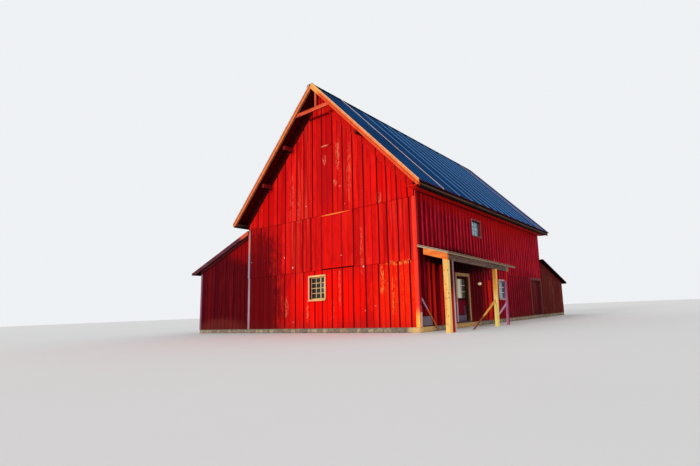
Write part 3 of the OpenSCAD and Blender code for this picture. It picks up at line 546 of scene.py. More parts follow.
# The joints between the siding's wide planks show on the end rafters as well.
strong_top = [0, 0.75, 1.6, 2.27, 2.86, 3.67, 4.17, 4.76, 5.36, 6.03, 6.64, 7.22, 7.82, 8.55,
              9.03, 9.53, 10.04, 10.36]
half_joint = 0.025
# End rafters: dark weathered wood, made darker by painted shade from the overhang on the left. On the
# right they are red like the planks, with dark joints.
timber(
    "soffit_dark", "#280303 #480606 #600e0c", (1, 0.05, 1), cracks=0.6,
    sides=[(2, -1, "#1e0202", 0.9)],
    areas=[(0.03, -7.7, 5.0, 6.0, -7.5, 12.0, "#e61008", 0.92)] + [
        (u - corner_x - half_joint, -7.7, 5.0, u - corner_x + half_joint, -7.5, 12.0, "#3c0002", 0.8)
        for u in strong_top if u > 5.3])
timber("lookout_wood", "#5c0e12 #821618 #962824", (1, 0.06, 1),
       sides=underside_shade)
timber("corner_wood", "#8c7082 #aa929e #cebec4",
       stain="#7c4654", stain_share=0.35, areas=table("""
    5.0 -7.6 0.0 5.3 -7.3 5.5 #ff3418 0.96
    5.0 -7.53 1.0 5.3 -7.3 5.5 #960822 0.92
    5.0 -7.53 0.75 5.3 -7.3 1.0 #aa3c5a 0.9
    5.0 -7.53 0.0 5.3 -7.3 0.75 #ecbeb4 0.9"""), spots=table("""
    5.16 -7.58 0.1 0.3 0.06 0.95 #ffc854 0.9
    -5.2 -7.55 4.6 0.4 0.6 0.8 #e88064 0.7
    -9.5 -7.55 2.0 0.5 0.6 3.5 #844a68 0.8"""))

# %% Timber of the porch and the floors
knots_near = [(6.413, 2.22), (6.54, 2.21), (6.417, 1.71), (6.458, 1.53), (6.54, 1.39), (6.405, 1.22),
              (6.473, 1.2), (6.535, 1.23), (6.432, 0.83), (6.486, 0.59), (6.44, 0.3)]
knots_far = [(6.508, 1.12), (6.5, 1.03), (6.5, 0.39), (6.465, 1.6), (6.47, 2.2)]
knot_spots = [(x, y, z, 0.022, 0.06, 0.035, "#963e00", 0.9)
              for y, places in ((-7.685, knots_near), (-3.415, knots_far)) for x, z in places]
# Painted light: faces that look along x are lightened as if the sun fell on them, and the two spots on
# the far post paint the low sun on it. The first spot is a red smear; the rest are knots.
timber("post_wood", "#f0a040 #ffd070 #fff0b4", (1, 1, 0.05),
       knots=1.0, cracks=0.35, sides=[(0, 1, "#ffe28c", 0.75)],
       spots=knot_spots + table("""
    6.36 -7.6 0.9 0.1 0.3 0.9 #ec6028 0.6
    6.5 -3.3 2.0 0.8 0.8 0.9 #ffb028 0.6
    6.5 -3.3 0.3 0.8 0.8 1.4 #fff082 0.6"""))
timber("rafter_orange", "#d6541e #fc8836 #ffba68", (0.05, 1, 1),
       cracks=0.5, knots=0.6, sides=underside_shade)
timber("beam_grey", "#3c2a26 #6c5248 #c4a894", (1, 0.04, 1),
       stain="#321c1c", stain_share=0.55, knots=1.0, cracks=0.8, sides=underside_shade,
       areas=table("6.3 -2.0 1.0 6.6 -1.0 3.0 #967668 0.7"))
timber("porch_deck", "#3c2c28 #604a40 #826c5c", (0.05, 1, 1),
       lines=(1, 0.19), cracks=0.8, sides=[
           (0, 1, "#ceac8a", 0.7), (1, -1, "#ceac8a", 0.85), *underside_shade])
timber("loose_wood", "#c46028 #ec883e #f6ac68", (1, 0.08, 0.3),
       stain="#8c4e32", knots=0.5, areas=table("""
    6.2 -3.3 0.3 6.7 -2.0 1.2 #c8a0c8 0.9
    6.2 -4.75 0.5 6.7 -3.2 1.45 #ffbe54 0.8
    6.2 -6.0 0.0 6.7 -4.75 0.5 #78402c 0.8
    5.1 -7.5 0.85 5.3 -6.9 1.4 #bea0c8 0.8"""))
timber("floor_wood", "#5c422c #7c5e40 #967654", (1, 0.05, 1),
       lines=(0, 0.18))
timber("entrance_paint", "#2c060a #460a10 #5c1e1e", areas=table("""
    4.9 -4.42 0.58 5.2 -3.43 1.17 #82021e 0.85
    4.9 -3.62 0.3 5.2 -3.4 0.95 #603e54 0.85
    4.9 -4.45 0.27 5.2 -3.4 0.525 #7c6a80 0.9
    4.9 -4.49 0.27 5.2 -4.42 1.12 #ecbeb0 0.8"""))

# %% [markdown]
# ## Painted trim
# The window and door casings take their colour from where they hang: cream yellow
# where the sun falls on the gable, mauve beside the high window, lilac white in the
# shade under the porch, tan round the entrance. The cream and the lilac are painted
# light and painted shade on one pale paint. Faces that look into the opening are
# painted dark, as deep shade. The near painted post is red and lilac, the far one
# pink and mauve.

# %% Trim finish
tree, place = finish_of("trim_paint", 0.7, 0.1)
fibres, streaks, height = use(grain, Place=place, Along=(1, 1, 0.08))
bare, _, _ = use(wear, Place=place, Along=(1, 1, 0.4), Amount=0.35, Fibres=fibres)
# The first spot paints the sun on the gable casing, cream yellow; the porch window's spot paints its
# lilac shade.
colour = spotted(blend(streaks, "#b08054", "#e2b07a"), place, wall_spots(gable="""
    4.96 2.0 0.9 0.9 #ffce82 0.95
    4.4 2.0 0.3 1.2 #ffaa8c 0.8""", side="""
    5.38 4.65 1.0 1.0 #824048 0.95
    4.86 4.65 0.07 1.0 #aaa0c4 0.9
    8.23 1.7 1.0 1.2 #c4a0b0 0.95
    13.8 1.5 2.4 2.4 #68222c 0.8"""), 0.2)
colour = blend(bare, colour, "#806048")
on_front = axes(place)[1] < -7.4
outward = add(tree, "Mix", {0: on_front, 2: facing(place, 0), 3: facing(place, 1, -1)},
              data_type="FLOAT")
colour = blend(outward, blend(streaks, "#3a1a16", "#683828"), colour)
colour = boxed(colour, place, table("""
    4.9 -4.6 0.1 5.3 -3.2 0.262 #5a484a 1.0
    4.9 -4.63 0.26 5.3 -4.49 1.12 #ceacb0 1.0
    4.9 -2.7 4.3 5.185 -1.6 4.95 #964c54 1.0
    4.9 -2.7 4.99 5.19 -1.6 5.1 #28080c 1.0"""))
coat(tree, colour, height, 0.4, 0.003)

# The bars are one pale paint with painted light and shade: cream where the sun falls on the gable,
# blue grey in the shade by the high window.
tree, place = finish_of("bar_paint", 0.65, 0.2)
coat(tree, spotted(blend(cloud(place, 30.0), "#aa968c", "#d6ccc4"), place, wall_spots(gable="""
    4.96 2.0 0.9 0.9 #ffd68c 0.95""", side="""
    5.38 4.65 1.0 1.0 #6e96b0 0.9
    8.23 1.7 1.0 1.2 #e2d6d6 0.9
    3.6 1.7 1.0 1.2 #f4e6ce 0.9"""), 0.1))

# %% Painted posts
tree, place = finish_of("post_paint", 0.7, 0.15)
fibres, streaks, height = use(grain, Place=place)
bare, _, _ = use(wear, Place=place, Along=(1, 1, 0.2), Amount=0.5, Fibres=fibres)
_, depth, high = axes(place)
outward = facing(place, 0)
# Painted shade: both faces of the near post darken towards the top, under the porch roof.
red = blend(spread(high, 1.0, 1.9), blend(streaks, "#a60610", "#ec2216"), "#5a080e")
lilac = blend(spread(high, 0.9, 1.9), blend(fibres, "#bea0ac", "#e2c8d0"),
              blend(fibres, "#785c68", "#aa8c96"))
far_post = blend(outward, blend(streaks, "#ba608c", "#d882a8"), "#7e1e3a")
far_post = blend(spread(high, 1.95, 2.05), far_post, "#d6181e")
colour = blend(depth < -5.0, far_post, blend(outward, red, lilac))
coat(tree, blend(bare, colour, "#ce9678"), height, 0.5, 0.004)

# %% [markdown]
# ## Metal, stone, glass and the rest
# The roof is dull dark blue painted metal. Its ribs show as pale lines, a painted
# reflection of the sky, with a dark line of painted shade where each rib meets the
# sheet. From below, the slopes show their dark red boards. The foundation is pale
# field stone. The panes of the gable are painted dark; those under the eaves carry a
# painted reflection of a pale sky.

# %% Metal finish
def sheet_metal(name, colours, along, turn=0.0, rough=0.55, rib=None, underside=None,
                black_from=None):
    """Painted sheet metal with run-off streaks, a painted highlight of the sky on the
    rib tops and painted shade at the rib feet. It is black above a height, if one is
    given. The underside is (dark, light, step), for boards with a joint at each step."""
    deep, clear, pale = colours.split()
    tree, raw = finish_of(name, rough, 0.0)
    runs = cloud(mapped(raw, turn=turn) * along, 2.2, 3.0, 0.6)
    top, foot, tone = strip_of(raw)
    colour = blend(spread(cloud(raw, 0.4, 2.0, 0.5), 0.3, 0.7), deep, clear)
    colour = blend(tone * 0.6, colour, clear)
    colour = blend(spread(runs, 0.5, 0.8, 0.0, 0.3), colour, pale)
    # Painted shade at the rib feet and a painted highlight of the sky on the rib tops.
    if rib:
        colour = blend(spread(foot, 0.1, 0.8, 0.0, 0.8), colour, "#041432")
        colour = blend(top, colour, rib)
    if black_from:
        blackened = spread(axes(raw)[2], black_from, black_from + 0.05, 0.0, 0.9)
        colour = blend(blackened, colour, "#030a10")
    if underside:
        dark, light, step = underside
        boards = blend(cloud(mapped(raw, (1, 0.1, 1)), 12.0, 4.0), dark, light)
        boards = blend(saw_joint(axes(raw)[2], step, 0.09), boards, "#080000")
        up = axes(add(tree, "NewGeometry", out="Normal"))[2]
        colour = blend(up < 0.2, colour, boards)
    coat(tree, colour, cloud(raw, 2.2, 2.0, 0.4), 0.2, 0.02,
         Roughness=spread(runs, 0.3, 0.7, rough - 0.08, rough + 0.15))


print("metal recipe ready")

# %% The sheets and the ridge
for name, turn in (("roof_right_metal", rake), ("roof_left_metal", -rake)):
    sheet_metal(name, "#022654 #08427c #1c5892", (0.03, 1, 1), turn, rib="#5c8abe",
                underside=("#3e0203", "#640808", 0.145), black_from=10.98)
sheet_metal("low_roof_metal", "#1e2230 #3a3e4e #68646c", (0.2, 0.2, 1),
            rib="#847c88", underside=("#160606", "#280e0c", 0.12))
sheet_metal("porch_metal", "#786256 #aa9482 #d6c2aa", (0.2, 1, 1),
            rib="#e2ceb4", rough=0.6, underside=("#180c0a", "#281612", 0.12))
sheet_metal("ridge_metal", "#040c14 #081828 #182c40", (1, 0.05, 1))
sheet_metal("lap_glint_metal", "#e2b6a0 #f6d6c4 #fff0e2", (0.3, 1, 1), rake)
sheet_metal("skirt_metal", "#5c5060 #7a6c7a #a696a0", (1, 0.3, 0.3), rough=0.6)

# %% Stone, glass and lamp
tree, place = finish_of("field_stone", 0.85, 0.2)
rough_face = cloud(place, 14.0, 6.0, 0.65)
colour = blend(strip_of(place)[2], "#8c8070", "#ceb894")
colour = blend(spread(rough_face, 0.35, 0.7), colour, "#706458")
colour = blend(spread(cloud(place, 3.0), 0.55, 0.75, 0.0, 0.5), colour, "#c49660")
coat(tree, spotted(colour, place, table("""
    5.3 -7.3 0.1 0.8 1.2 0.5 #face82 0.75
    5.3 -3.9 0.1 0.6 1.8 0.5 #f4be70 0.7"""), 0.6), rough_face, 0.8, 0.02)

tree, place = finish_of("pane_glass", 0.15, 0.35)
# The pale blues are a painted reflection of the sky, mottled by dust. The spots paint darker panes
# where the room behind shows, and bright painted reflections, the largest on the entrance door.
dust_and_reflection = spread(cloud(place, 5.0, 4.0, 0.6), 0.4, 0.66)
coat(tree, spotted(blend(dust_and_reflection, "#7eb8ce", "#bee2e8"), place, wall_spots(gable="""
    4.96 2.0 1.2 1.2 #221810 1.0
    5.3 2.0 0.14 0.36 #54788c 0.9""", side="""
    3.65 1.8 0.8 0.9 #fff6de 0.95
    3.95 1.7 0.32 0.9 #28221c 0.9
    8.55 1.7 0.16 1.0 #2c323c 0.8
    8.1 1.9 0.5 0.3 #7896a0 0.8
    5.1 4.65 0.1 0.4 #326e96 0.9"""), 0.5))

# The lamp is not lit: its faint glow is painted light that stands in for the sun on its glass.
tree, place = finish_of("lamp_glass", 0.3)
colour = blend(cloud(place, 20.0), "#fae2a0", "#fff4c8")
coat(tree, colour, **{"Emission Color": colour})
tree.nodes["Principled BSDF"].inputs["Emission Strength"].default_value = 0.35
print("materials", len(bpy.data.materials))

# %% [markdown]
# ## Helpers for shapes
# Nearly every added piece is a cross-section carried along a straight path. The
# sections of all like pieces are worked out together as one array with four
# indices: piece, ring along the path, corner of the section, and x y z. `carried`
# joins each ring to the next and closes both ends. `piece` makes the mesh and
# turns all faces outwards if the volume comes out negative.

# %% Shape helpers
def carried(sections):
    """Faces between neighbouring rings of closed sections, with both ends closed.
    Sections have the shape (pieces, rings, corners, 3)."""
    pieces, rings, corners, _ = sections.shape
    index = np.arange(pieces * rings * corners).reshape(pieces, rings, corners)
    turned = np.roll(index, -1, axis=2)
    sides = np.stack([index[:, :-1], turned[:, :-1], turned[:, 1:], index[:, 1:]], -1)
    return [sides.reshape(-1, 4), index[:, 0, ::-1], index[:, -1]]


def volume(points, faces):
    """Volume inside a closed mesh: the sum of signed volumes of its triangles."""
    total = 0.0
    for group in faces:
        for step in range(1, group.shape[1] - 1):
            a, b, c = points[group[:, 0]], points[group[:, step]], points[group[:, step + 1]]
            total += np.einsum("ij,ij->", a, np.cross(b, c)) / 6
    return total


def piece(name, sections, finish, body="barn", strip=None, smooth=False):
    """Makes a mesh of carried sections, turned inside out where its volume comes out
    negative, and lets it ride on a body."""
    faces, points = carried(sections), sections.reshape(-1, 3)
    if volume(points - points.mean(0), faces) < 0:
        faces = [group[:, ::-1] for group in faces]
    mesh = bpy.data.meshes.new(name)
    mesh.from_pydata(points.tolist(), [], sum((group.tolist() for group in faces), []),
                     shade_flat=not smooth)
    if strip is not None:
        mesh.attributes.new("strip", "FLOAT_VECTOR", "POINT").data.foreach_set("vector", strip.ravel())
    mesh.materials.append(finishes[finish])
    made = placed(name, mesh)
    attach(made, body)
    print(name, "faces", len(mesh.polygons), "points", len(points))


half_w, half_l, wall_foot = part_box("foundation")[1]
soffit_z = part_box("eave_fascias")[0].z
roof_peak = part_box("front_wall")[1].z
lean_x = -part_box("lean_to_foundation")[0].x
rear_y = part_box("rear_foundation")[1].y
lean_w, rear_l = lean_x - half_w, rear_y - half_l
print("half width", round(half_w, 3), "half length", round(half_l, 3), "peak", round(roof_peak, 3))

# %% [markdown]
# ## Planks on the walls
# Real siding is nailed up plank by plank, so no two planks stand quite alike.
# A flat wall with painted lines would look it in every raking view. Here each
# plank is its own long prism with planed front edges. It bows by a millimetre or
# two, has its own tone, and is cut round the openings. A wall is given by the
# point where it starts, the direction along it and its length, and it looks to the
# right of that direction.

# %% Walls
walls = {"front": (-half_w, -half_l, 1, 0, 2 * half_w),
         "right_wall": (half_w, -half_l, 0, 1, 2 * half_l),
         "rear_gable": (half_w, half_l, -1, 0, 2 * half_w),
         "left_wall": (-half_w, half_l, 0, -1, 2 * half_l),
         "lean_to_front": (-lean_x, -half_l, 1, 0, lean_w),
         "lean_to_rear": (-half_w, half_l, -1, 0, lean_w),
         "lean_to_side": (-lean_x, half_l, 0, -1, 2 * half_l),
         "rear_right": (half_w, half_l, 0, 1, rear_l),
         "rear_end": (half_w, rear_y, -1, 0, 2 * half_w),
         "rear_left": (-half_w, rear_y, 0, -1, rear_l)}


def on_wall(wall, a, z, d):
    """Points at distance a along a wall, height z and distance d out of its face.
    With (p, q) as the direction along, (q, -p) is the direction out."""
    x, y, p, q, _ = wall
    return np.stack(np.broadcast_arrays(x + a * p + d * q, y + a * q - d * p, z), -1)


print("walls", sorted(walls))

# %% Rows of planks
def plank_rows(joints, foot, top, holes=(), seed=1, tones=(0.15, 0.95)):
    """One row per plank piece: left, right, foot, top at the left and the right,
    tone. Joints are pairs of a place and the width of its gap. A plank that meets
    a hole (left, right, foot, top) is cut round it."""
    luck = np.random.default_rng(seed)
    rows = []
    for (left, gap0), (right, gap1) in zip(joints[:-1], joints[1:]):
        a0, a1, tone = left + gap0 / 2, right - gap1 / 2, luck.uniform(*tones)
        cuts = sorted({a0, a1, *(e for h in holes for e in h[:2] if a0 < e < a1)})
        for c0, c1 in zip(cuts[:-1], cuts[1:]):
            spans = [(foot, None)]
            for h0, h1, low, high in sorted(holes, key=lambda h: h[2]):
                if h0 < (c0 + c1) / 2 < h1:
                    spans[-1] = (spans[-1][0], low)
                    spans.append((high, None))
            for low, high in spans:
                t0, t1 = (top(c0), top(c1)) if high is None else (high, high)
                if min(t0, t1) - low > 0.02:
                    rows.append((c0, c1, low, t0, t1, tone))
    return np.array(rows)


print("plank rows ready")

# %% Planks from rows
planed = 0.004  # the most that a plank's front edge is cut back


def planks(name, wall, rows, finish="sunlit_red", thick=0.014, lift=0.0,
           body="barn", seed=5, bow=0.0015, rings=6):
    """Planks from rows. The section has six corners: two on the wall and four
    round the planed front. It is carried from foot to top, bowing out by a sine."""
    luck = np.random.default_rng(seed)
    a0, a1, foot, top0, top1, tone = (rows[:, i, None, None] for i in range(6))
    edge = np.minimum(planed, (a1 - a0) / 5)
    a = np.concatenate([a0, a1, a1, a1 - edge, a0 + edge, a0], -1)
    deep = np.array([0, 0, 1, 1, 1, 1]) * thick - np.array([0, 0, 1, 0, 0, 1]) * planed
    share = np.linspace(0, 1, rings)[None, :, None]
    top = top0 + (top1 - top0) * (a - a0) / (a1 - a0)
    z = foot + share * (top - foot)
    wave = bow * np.sin(2 * np.pi * (z * 0.31 + luck.random(len(rows))[:, None, None]))
    points = on_wall(walls[wall], a, z, lift + deep + wave * (deep > 0))
    across, tone = (np.broadcast_to(v, z.shape) for v in ((a - a0) / (a1 - a0), tone))
    piece(name, points, finish, body, np.stack([across, z - foot, tone], -1))


def even_joints(start, end, step, gap, seed, jitter=0.1):
    """Joints about one step apart from start to end, a little uneven."""
    count = max(1, round((end - start) / step))
    at = np.linspace(start, end, count + 1)
    at[1:-1] += np.random.default_rng(seed).uniform(-jitter, jitter, count - 1) * step
    return [(float(v), gap) for v in at]


def straight(z0, z1=None, length=1.0):
    """A straight top edge that goes from height z0 to z1 over a length, or is level."""
    return lambda a: z0 + ((z0 if z1 is None else z1) - z0) * a / length


print("planks ready")

# %% [markdown]
# ## The front gable
# The gable is boarded in three courses, each lapping over the one below. Wide dark
# joints stand about 0.6 m apart, at places read off the photograph, and a fine
# joint runs up the middle of each pair of planks.

# %% Gable planks
def gable_top(a):
    """Underside of the roof above a place on the gable, less a little."""
    return roof_peak - abs(a - half_w) * roof_slope - 0.01


def with_fine(strong, gap=0.052, fine=0.008):
    """Strong joints with a fine one between each pair that stands far apart."""
    made = []
    for left, right in zip(strong[:-1], strong[1:]):
        made.append((left, gap))
        if right - left > 0.4:
            made.append(((left + right) / 2 + 0.03 * np.sin(9 * left), fine))
    return made + [(strong[-1], gap)]


lap, course_1, course_2 = 0.022, 2.752, 5.232
gable_window, high_window = (4.46, 5.46, 1.45, 2.5), (4.905, 5.855, 4.26, 5.04)
porch_window = (7.73, 8.73, 1.22, 2.2)
strong_low = [0, 0.5, 1.0, 1.6, 2.17, 2.78, 3.54, 4.1, 4.82, 5.29, 5.89, 6.5, 7.11, 7.8, 8.47, 9.0,
              9.45, 10.0, 10.36]
strong_mid = [0, 0.17, 1.0, 1.59, 2.26, 2.85, 3.59, 4.07, 4.61, 5.28, 7.19, 7.8, 8.56, 9.0, 9.53,
              10.08, 10.36]
planks("gable_planks_low", "front", plank_rows(
    with_fine(strong_low), wall_foot, straight(2.745), [gable_window], 11))
planks("gable_planks_middle", "front", plank_rows(
    with_fine(strong_mid), course_1, lambda a: min(5.225, gable_top(a)),
    [(5.28, 7.19, course_1, 5.3)], 12), lift=lap)
planks("gable_planks_top", "front", plank_rows(
    with_fine(strong_top), course_2, gable_top, [(5.36, 6.03, course_2, 8.474)], 13), lift=2 * lap)

# %% Loft door boards
wide_door = plank_rows([(5.315, 0.0), (5.95, 0.034), (6.5, 0.005), (7.155, 0.0)], 2.80,
                       straight(5.14), (), 14, (0.55, 0.8))
planks("loft_door_boards", "front", wide_door, thick=0.008, lift=2 * lap)
high_door = plank_rows([(5.4, 0.0), (5.7, 0.006), (5.99, 0.0)], 5.24, straight(8.42), (), 15,
                       (0.2, 0.4))
planks("upper_door_boards", "front", high_door, thick=0.008, lift=3 * lap)

# %% [markdown]
# ## The other walls
# Here every joint between the boards is covered by a batten that stands proud of
# them. The battens are a paler pink than the boards between: partly faded paint,
# partly painted light where the low sun grazes them. On the right wall one seam runs
# level at the height of the porch, where the upper planks start. On the rear gable
# the planks over the seam lap over the lower ones.

# %% Board and batten helper
def board_and_batten(wall, foot, top, finish, step=0.3, batten_w=0.13, start=0.0, holes=(),
                     seam=None, lap_out=0.0):
    """Boards with a batten over each joint, cut round the holes, with an optional
    level seam at which the planks are butted. Those over the seam can stand
    further out by a lap."""
    seed, proud = 3, 0.011
    joints = even_joints(start, walls[wall][4], step, 0.005, seed)
    levels = [(foot, top, 0.0)] if seam is None else [
        (foot, lambda a: min(seam - 0.004, top(a)), 0.0), (seam + 0.004, top, lap_out)]
    boards, battens = [], []
    for low, high, out in levels:
        boards.append((plank_rows(joints, low, high, holes, seed), out))
        for i, (middle, _) in enumerate(joints[1:-1]):
            pair = [(middle - batten_w / 2, 0), (middle + batten_w / 2, 0)]
            cut = plank_rows(pair, low, high, holes, seed + i, (1.1, 1.9))
            if len(cut):
                battens.append((cut, out + proud))
    for part, made, thick in (("boards", boards, 0.012), ("battens", battens, 0.016)):
        lift = np.concatenate([np.full((len(rows), 1, 1), out) for rows, out in made])
        planks(f"{wall}_{part}", wall, np.concatenate([rows for rows, _ in made]), finish, thick,
               lift, seed=seed + (made is battens))


def low_wall(wall, ends, finish, step=0.3, batten_w=0.13):
    """A wall under a low roof: its top runs straight from one height to another."""
    top = straight(*ends, walls[wall][4])
    board_and_batten(wall, wall_foot, top, finish, step, batten_w)


print("board and batten ready")

# %% Board and batten walls
right_holes = [(3.02, 4.20, 0.0, 2.33), (12.90, 14.84, 0.0, 2.5), (4.87, 5.89, 4.225, 5.075),
               porch_window, (0.17, 0.9, 0.0, 0.61)]
side_top = straight(soffit_z - 0.004)
lean_top, lean_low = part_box("lean_to_end_walls")[1].z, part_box("lean_to_side_wall")[1].z - 0.063
lean_ends, rear_ends = (lean_low - 0.31, lean_top - 0.31), (3.71, 2.45)
board_and_batten("right_wall", wall_foot, side_top, "shade_red", 0.325, start=0.14,
                 holes=right_holes, seam=2.78)
board_and_batten("left_wall", 5.26, side_top, "shade_red", 0.325)
low_wall("lean_to_front", lean_ends, "lean_red", 0.33, 0.06)
low_wall("lean_to_rear", lean_ends[::-1], "lean_red", 0.33, 0.06)
low_wall("lean_to_side", [lean_low - 0.01] * 2, "lean_red", batten_w=0.06)
board_and_batten("rear_gable", 3.85, gable_top, "shade_red", seam=5.23, lap_out=lap)
low_wall("rear_right", rear_ends, "rear_red")
low_wall("rear_left", rear_ends[::-1], "rear_red")
low_wall("rear_end", rear_ends[1:] * 2, "rear_red")

# %% [markdown]
# ## The ribbed roof
# The sheets have a raised rib about every 0.3 m with two low stiffening beads
# between, and each sheet laps over the next at a rib. The sheet is a surface of
# two parameters: the place along the eave sets the height of the profile, and the
# place down the slope only moves it. A second row of points under it closes it.

# %% Sheet profiles
def rib_profile(length, laps=(), step=0.305, plain=0.22):
    """Places along a sheet, heights, and how much painted highlight or painted shade
    each place gets. At a lap two sheets lie over each other: that rib is higher and
    gets the most painted light, while the others are plain and get only a share of it."""
    shape = np.array(table("""
        -0.085 0 0 0
        -0.05 0 0 1
        -0.04 0.012 0.1 0.6
        -0.036 0.018 1 0
        -0.03 0.024 1 0
        0.03 0.024 1 0
        0.05 0 0 1
        0.085 0 0 0
        0.118 0 0 0
        0.126 0.003 0.3 0
        0.134 0 0 0
        0.171 0 0 0
        0.179 0.003 0.3 0
        0.187 0 0 0"""))
    count = int(length // step)
    ribs = (length - count * step) / 2 + step * np.arange(count + 1)
    at = ribs[:, None] + shape[:, 0]
    values = np.broadcast_to(shape[:, 1:], (*at.shape, 3)).copy()
    values[..., 1] *= plain
    for lap_at in laps:
        nearest = np.argmin(np.abs(ribs - lap_at))
        values[nearest, 1:7] = [[0.02, 0.7, 0], [0.026, 1, 0], [0.03, 1, 0], [0.032, 1, 0],
                                [0.032, 1, 0], [0, 0.3, 0.6]]
    keep = (at > 0.01) & (at < length - 0.01)
    flat = np.zeros((1, 3))
    return np.concatenate([[0.0], at[keep], [length]]), np.concatenate([flat, values[keep], flat])


def wave_profile(length, period=0.076, height=0.018, steps=8):
    """A round corrugation: height (1 - cos(2 pi a / period)) / 2."""
    at = np.linspace(0, length, int(length / period) * steps + 1)
    high = height * (1 - np.cos(2 * np.pi * at / period)) / 2
    return at, np.stack([high, high / height, 0 * high], -1)


print("sheet profiles ready")

# %% Sheet helper
def ribbed(name, corner, along, down, normal, finish, profile=rib_profile, thick=0.004, rows=9,
           seed=2, sheet_w=0.915):
    """A profiled sheet from a corner: along the eave and down the slope are whole
    vectors, the normal is a unit vector. Closed by a row of points below. Each
    sheet's width has its own tone."""
    corner, along, down, normal = (np.array(v, float) for v in (corner, along, down, normal))
    length = np.linalg.norm(along)
    at, shape = profile(length)
    high, pale, dark = shape.T
    share = np.linspace(0, 1, rows)[:, None]
    wave = 0.0012 * np.sin(share * 19 + at * 1.7)
    plane = corner + (at / length)[:, None] * along + share[..., None] * down
    top = plane + (high + thick + wave)[..., None] * normal
    section = np.concatenate([top, plane[:, ::-1]], 1)[None]
    sheets_at_most = 400
    tone = np.random.default_rng(seed).random(sheets_at_most)[(at // sheet_w).astype(int)]
    strip = np.zeros(section.shape)
    for channel, values in enumerate((pale, dark, tone)):
        strip[..., channel] = np.concatenate([values, values[::-1]])
    piece(name, section, finish, strip=strip)


print("sheet helper ready")

# %% Sheets of the main roof
(_, front_y, _), (eave_edge, back_y, _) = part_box("roof_right")
roof_length = back_y - front_y
normal_r = np.array([np.sin(rake), 0, np.cos(rake)])
mirrored = np.array([-1, 1, 1])
cap_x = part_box("ridge_cap")[1].x


def sheet_z(x):
    """Top of the roof boards at a distance from the middle."""
    return roof_peak + (0.135 + 0.015) / np.cos(rake) - x * roof_slope


fall = np.array([eave_edge - cap_x, 0, sheet_z(eave_edge) - sheet_z(cap_x)])
bright_laps = np.array([2.75, 3.8, 4.65, 5.75, 6.7, 7.4, 8.4, 9.3, 10.1, 11.0, 12.1, 13.2,
                        14.2]) - half_l - front_y
ribbed("roof_right_sheets", (cap_x, front_y, sheet_z(cap_x)), (0, roof_length, 0), fall, normal_r,
       "roof_right_metal", lambda length: rib_profile(length, bright_laps))
ribbed("roof_left_sheets", (-cap_x, back_y, sheet_z(cap_x)), (0, -roof_length, 0),
       fall * mirrored, normal_r * mirrored, "roof_left_metal", seed=4)

# %% [markdown]
# One sheet near the front laps over its neighbour with a bent edge, painted pale as
# a highlight where it catches the sun all the way down. A duller one lies near the
# rear. Along the rear rake a pale trim is bent over the ends of the sheets.

# %% Lap edges and rear trim
def along_slope(name, y0, y1, high, finish, side=1):
    """A strip from ridge to eave that lies on the sheets, with rounded shoulders.
    Its section is carried down the slope in twelve steps."""
    x = cap_x + np.linspace(0, 1, 12)[:, None] * (eave_edge - cap_x)
    y = y0 + np.array([0, 0, 0.25, 0.75, 1, 1]) * (y1 - y0)
    rise = 0.004 + np.array([0, 0.7, 1, 1, 0.7, 0]) * high
    base = np.stack(np.broadcast_arrays(x, y, sheet_z(x)), -1) + rise[:, None] * normal_r
    piece(name, base[None] * [side, 1, 1], finish)


lap_y, rear_lap_y, trim_w = 1.15 - half_l, back_y - 1.8, 0.11
along_slope("lap_edge", lap_y, lap_y + 0.03, 0.034, "lap_glint_metal")
along_slope("rear_lap_edge", rear_lap_y, rear_lap_y + 0.04, 0.05, "rear_trim_wood")
along_slope("rear_trim_right", back_y - trim_w, back_y, 0.036, "rear_trim_wood")
along_slope("rear_trim_left", back_y - trim_w, back_y, 0.036, "rear_trim_wood", side=-1)

# %% Low roofs
def low_roof(name, node, axis, way, seed, edge=0.11, inset=0.03):
    """Ribbed sheets on a lean-to roof that falls one way along an axis. The node's
    box gives the fall, less the height of the roof's edge."""
    low, high = (np.array(v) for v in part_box(node))
    across, run = 1 - axis, high[axis] - low[axis]
    slope = (high[2] - low[2] - edge) / run
    corner, down, along, normal = np.zeros((4, 3))
    corner[axis] = (low if way > 0 else high)[axis] + way * inset
    corner[across], corner[2] = low[across], high[2] - inset * slope
    down[axis], down[2] = way * (run - inset), -(run - inset) * slope
    along[across] = high[across] - low[across]
    normal[axis], normal[2] = way * slope, 1
    ribbed(name, corner, along, down, normal / np.linalg.norm(normal), "low_roof_metal", seed=seed)


low_roof("lean_to_sheets", "lean_to_roof", 0, -1, 6)
low_roof("rear_sheets", "rear_roof", 1, 1, 7)

# %% [markdown]
# The porch has a corrugated sheet with a round wave. The whole porch roof sags by
# 1.4 degrees towards the rear, so the sheet's directions are turned by that angle.

# %% Porch sheet
sag = np.radians(-1.4)
tilt = np.array([[1, 0, 0], [0, np.cos(sag), -np.sin(sag)], [0, np.sin(sag), np.cos(sag)]])
porch_low_z, porch_rise, porch_run = 2.89, 3.295 - 2.89, 1.35
porch_l, overhang, start_x, end_x = 6.79, 0.065, 0.035, 1.375
porch_fall = porch_rise / porch_run
porch_corner = np.array([half_w, -half_l, porch_low_z]) + tilt @ np.array(
    [start_x, -overhang, porch_rise - start_x * porch_fall])
ribbed("porch_sheet", porch_corner, tilt @ np.array([0, porch_l, 0]),
       tilt @ np.array([1, 0, -porch_fall]) * (end_x - start_x),
       tilt @ np.array([porch_fall, 0, 1]) / np.hypot(porch_fall, 1),
       "porch_metal", wave_profile, thick=0.01, rows=5)

# %% [markdown]
# ## Window bars
# The sashes are divided into small panes by slender bars. All bars of a window
# are short prisms in front of the glass, laid out from the window's own edges.

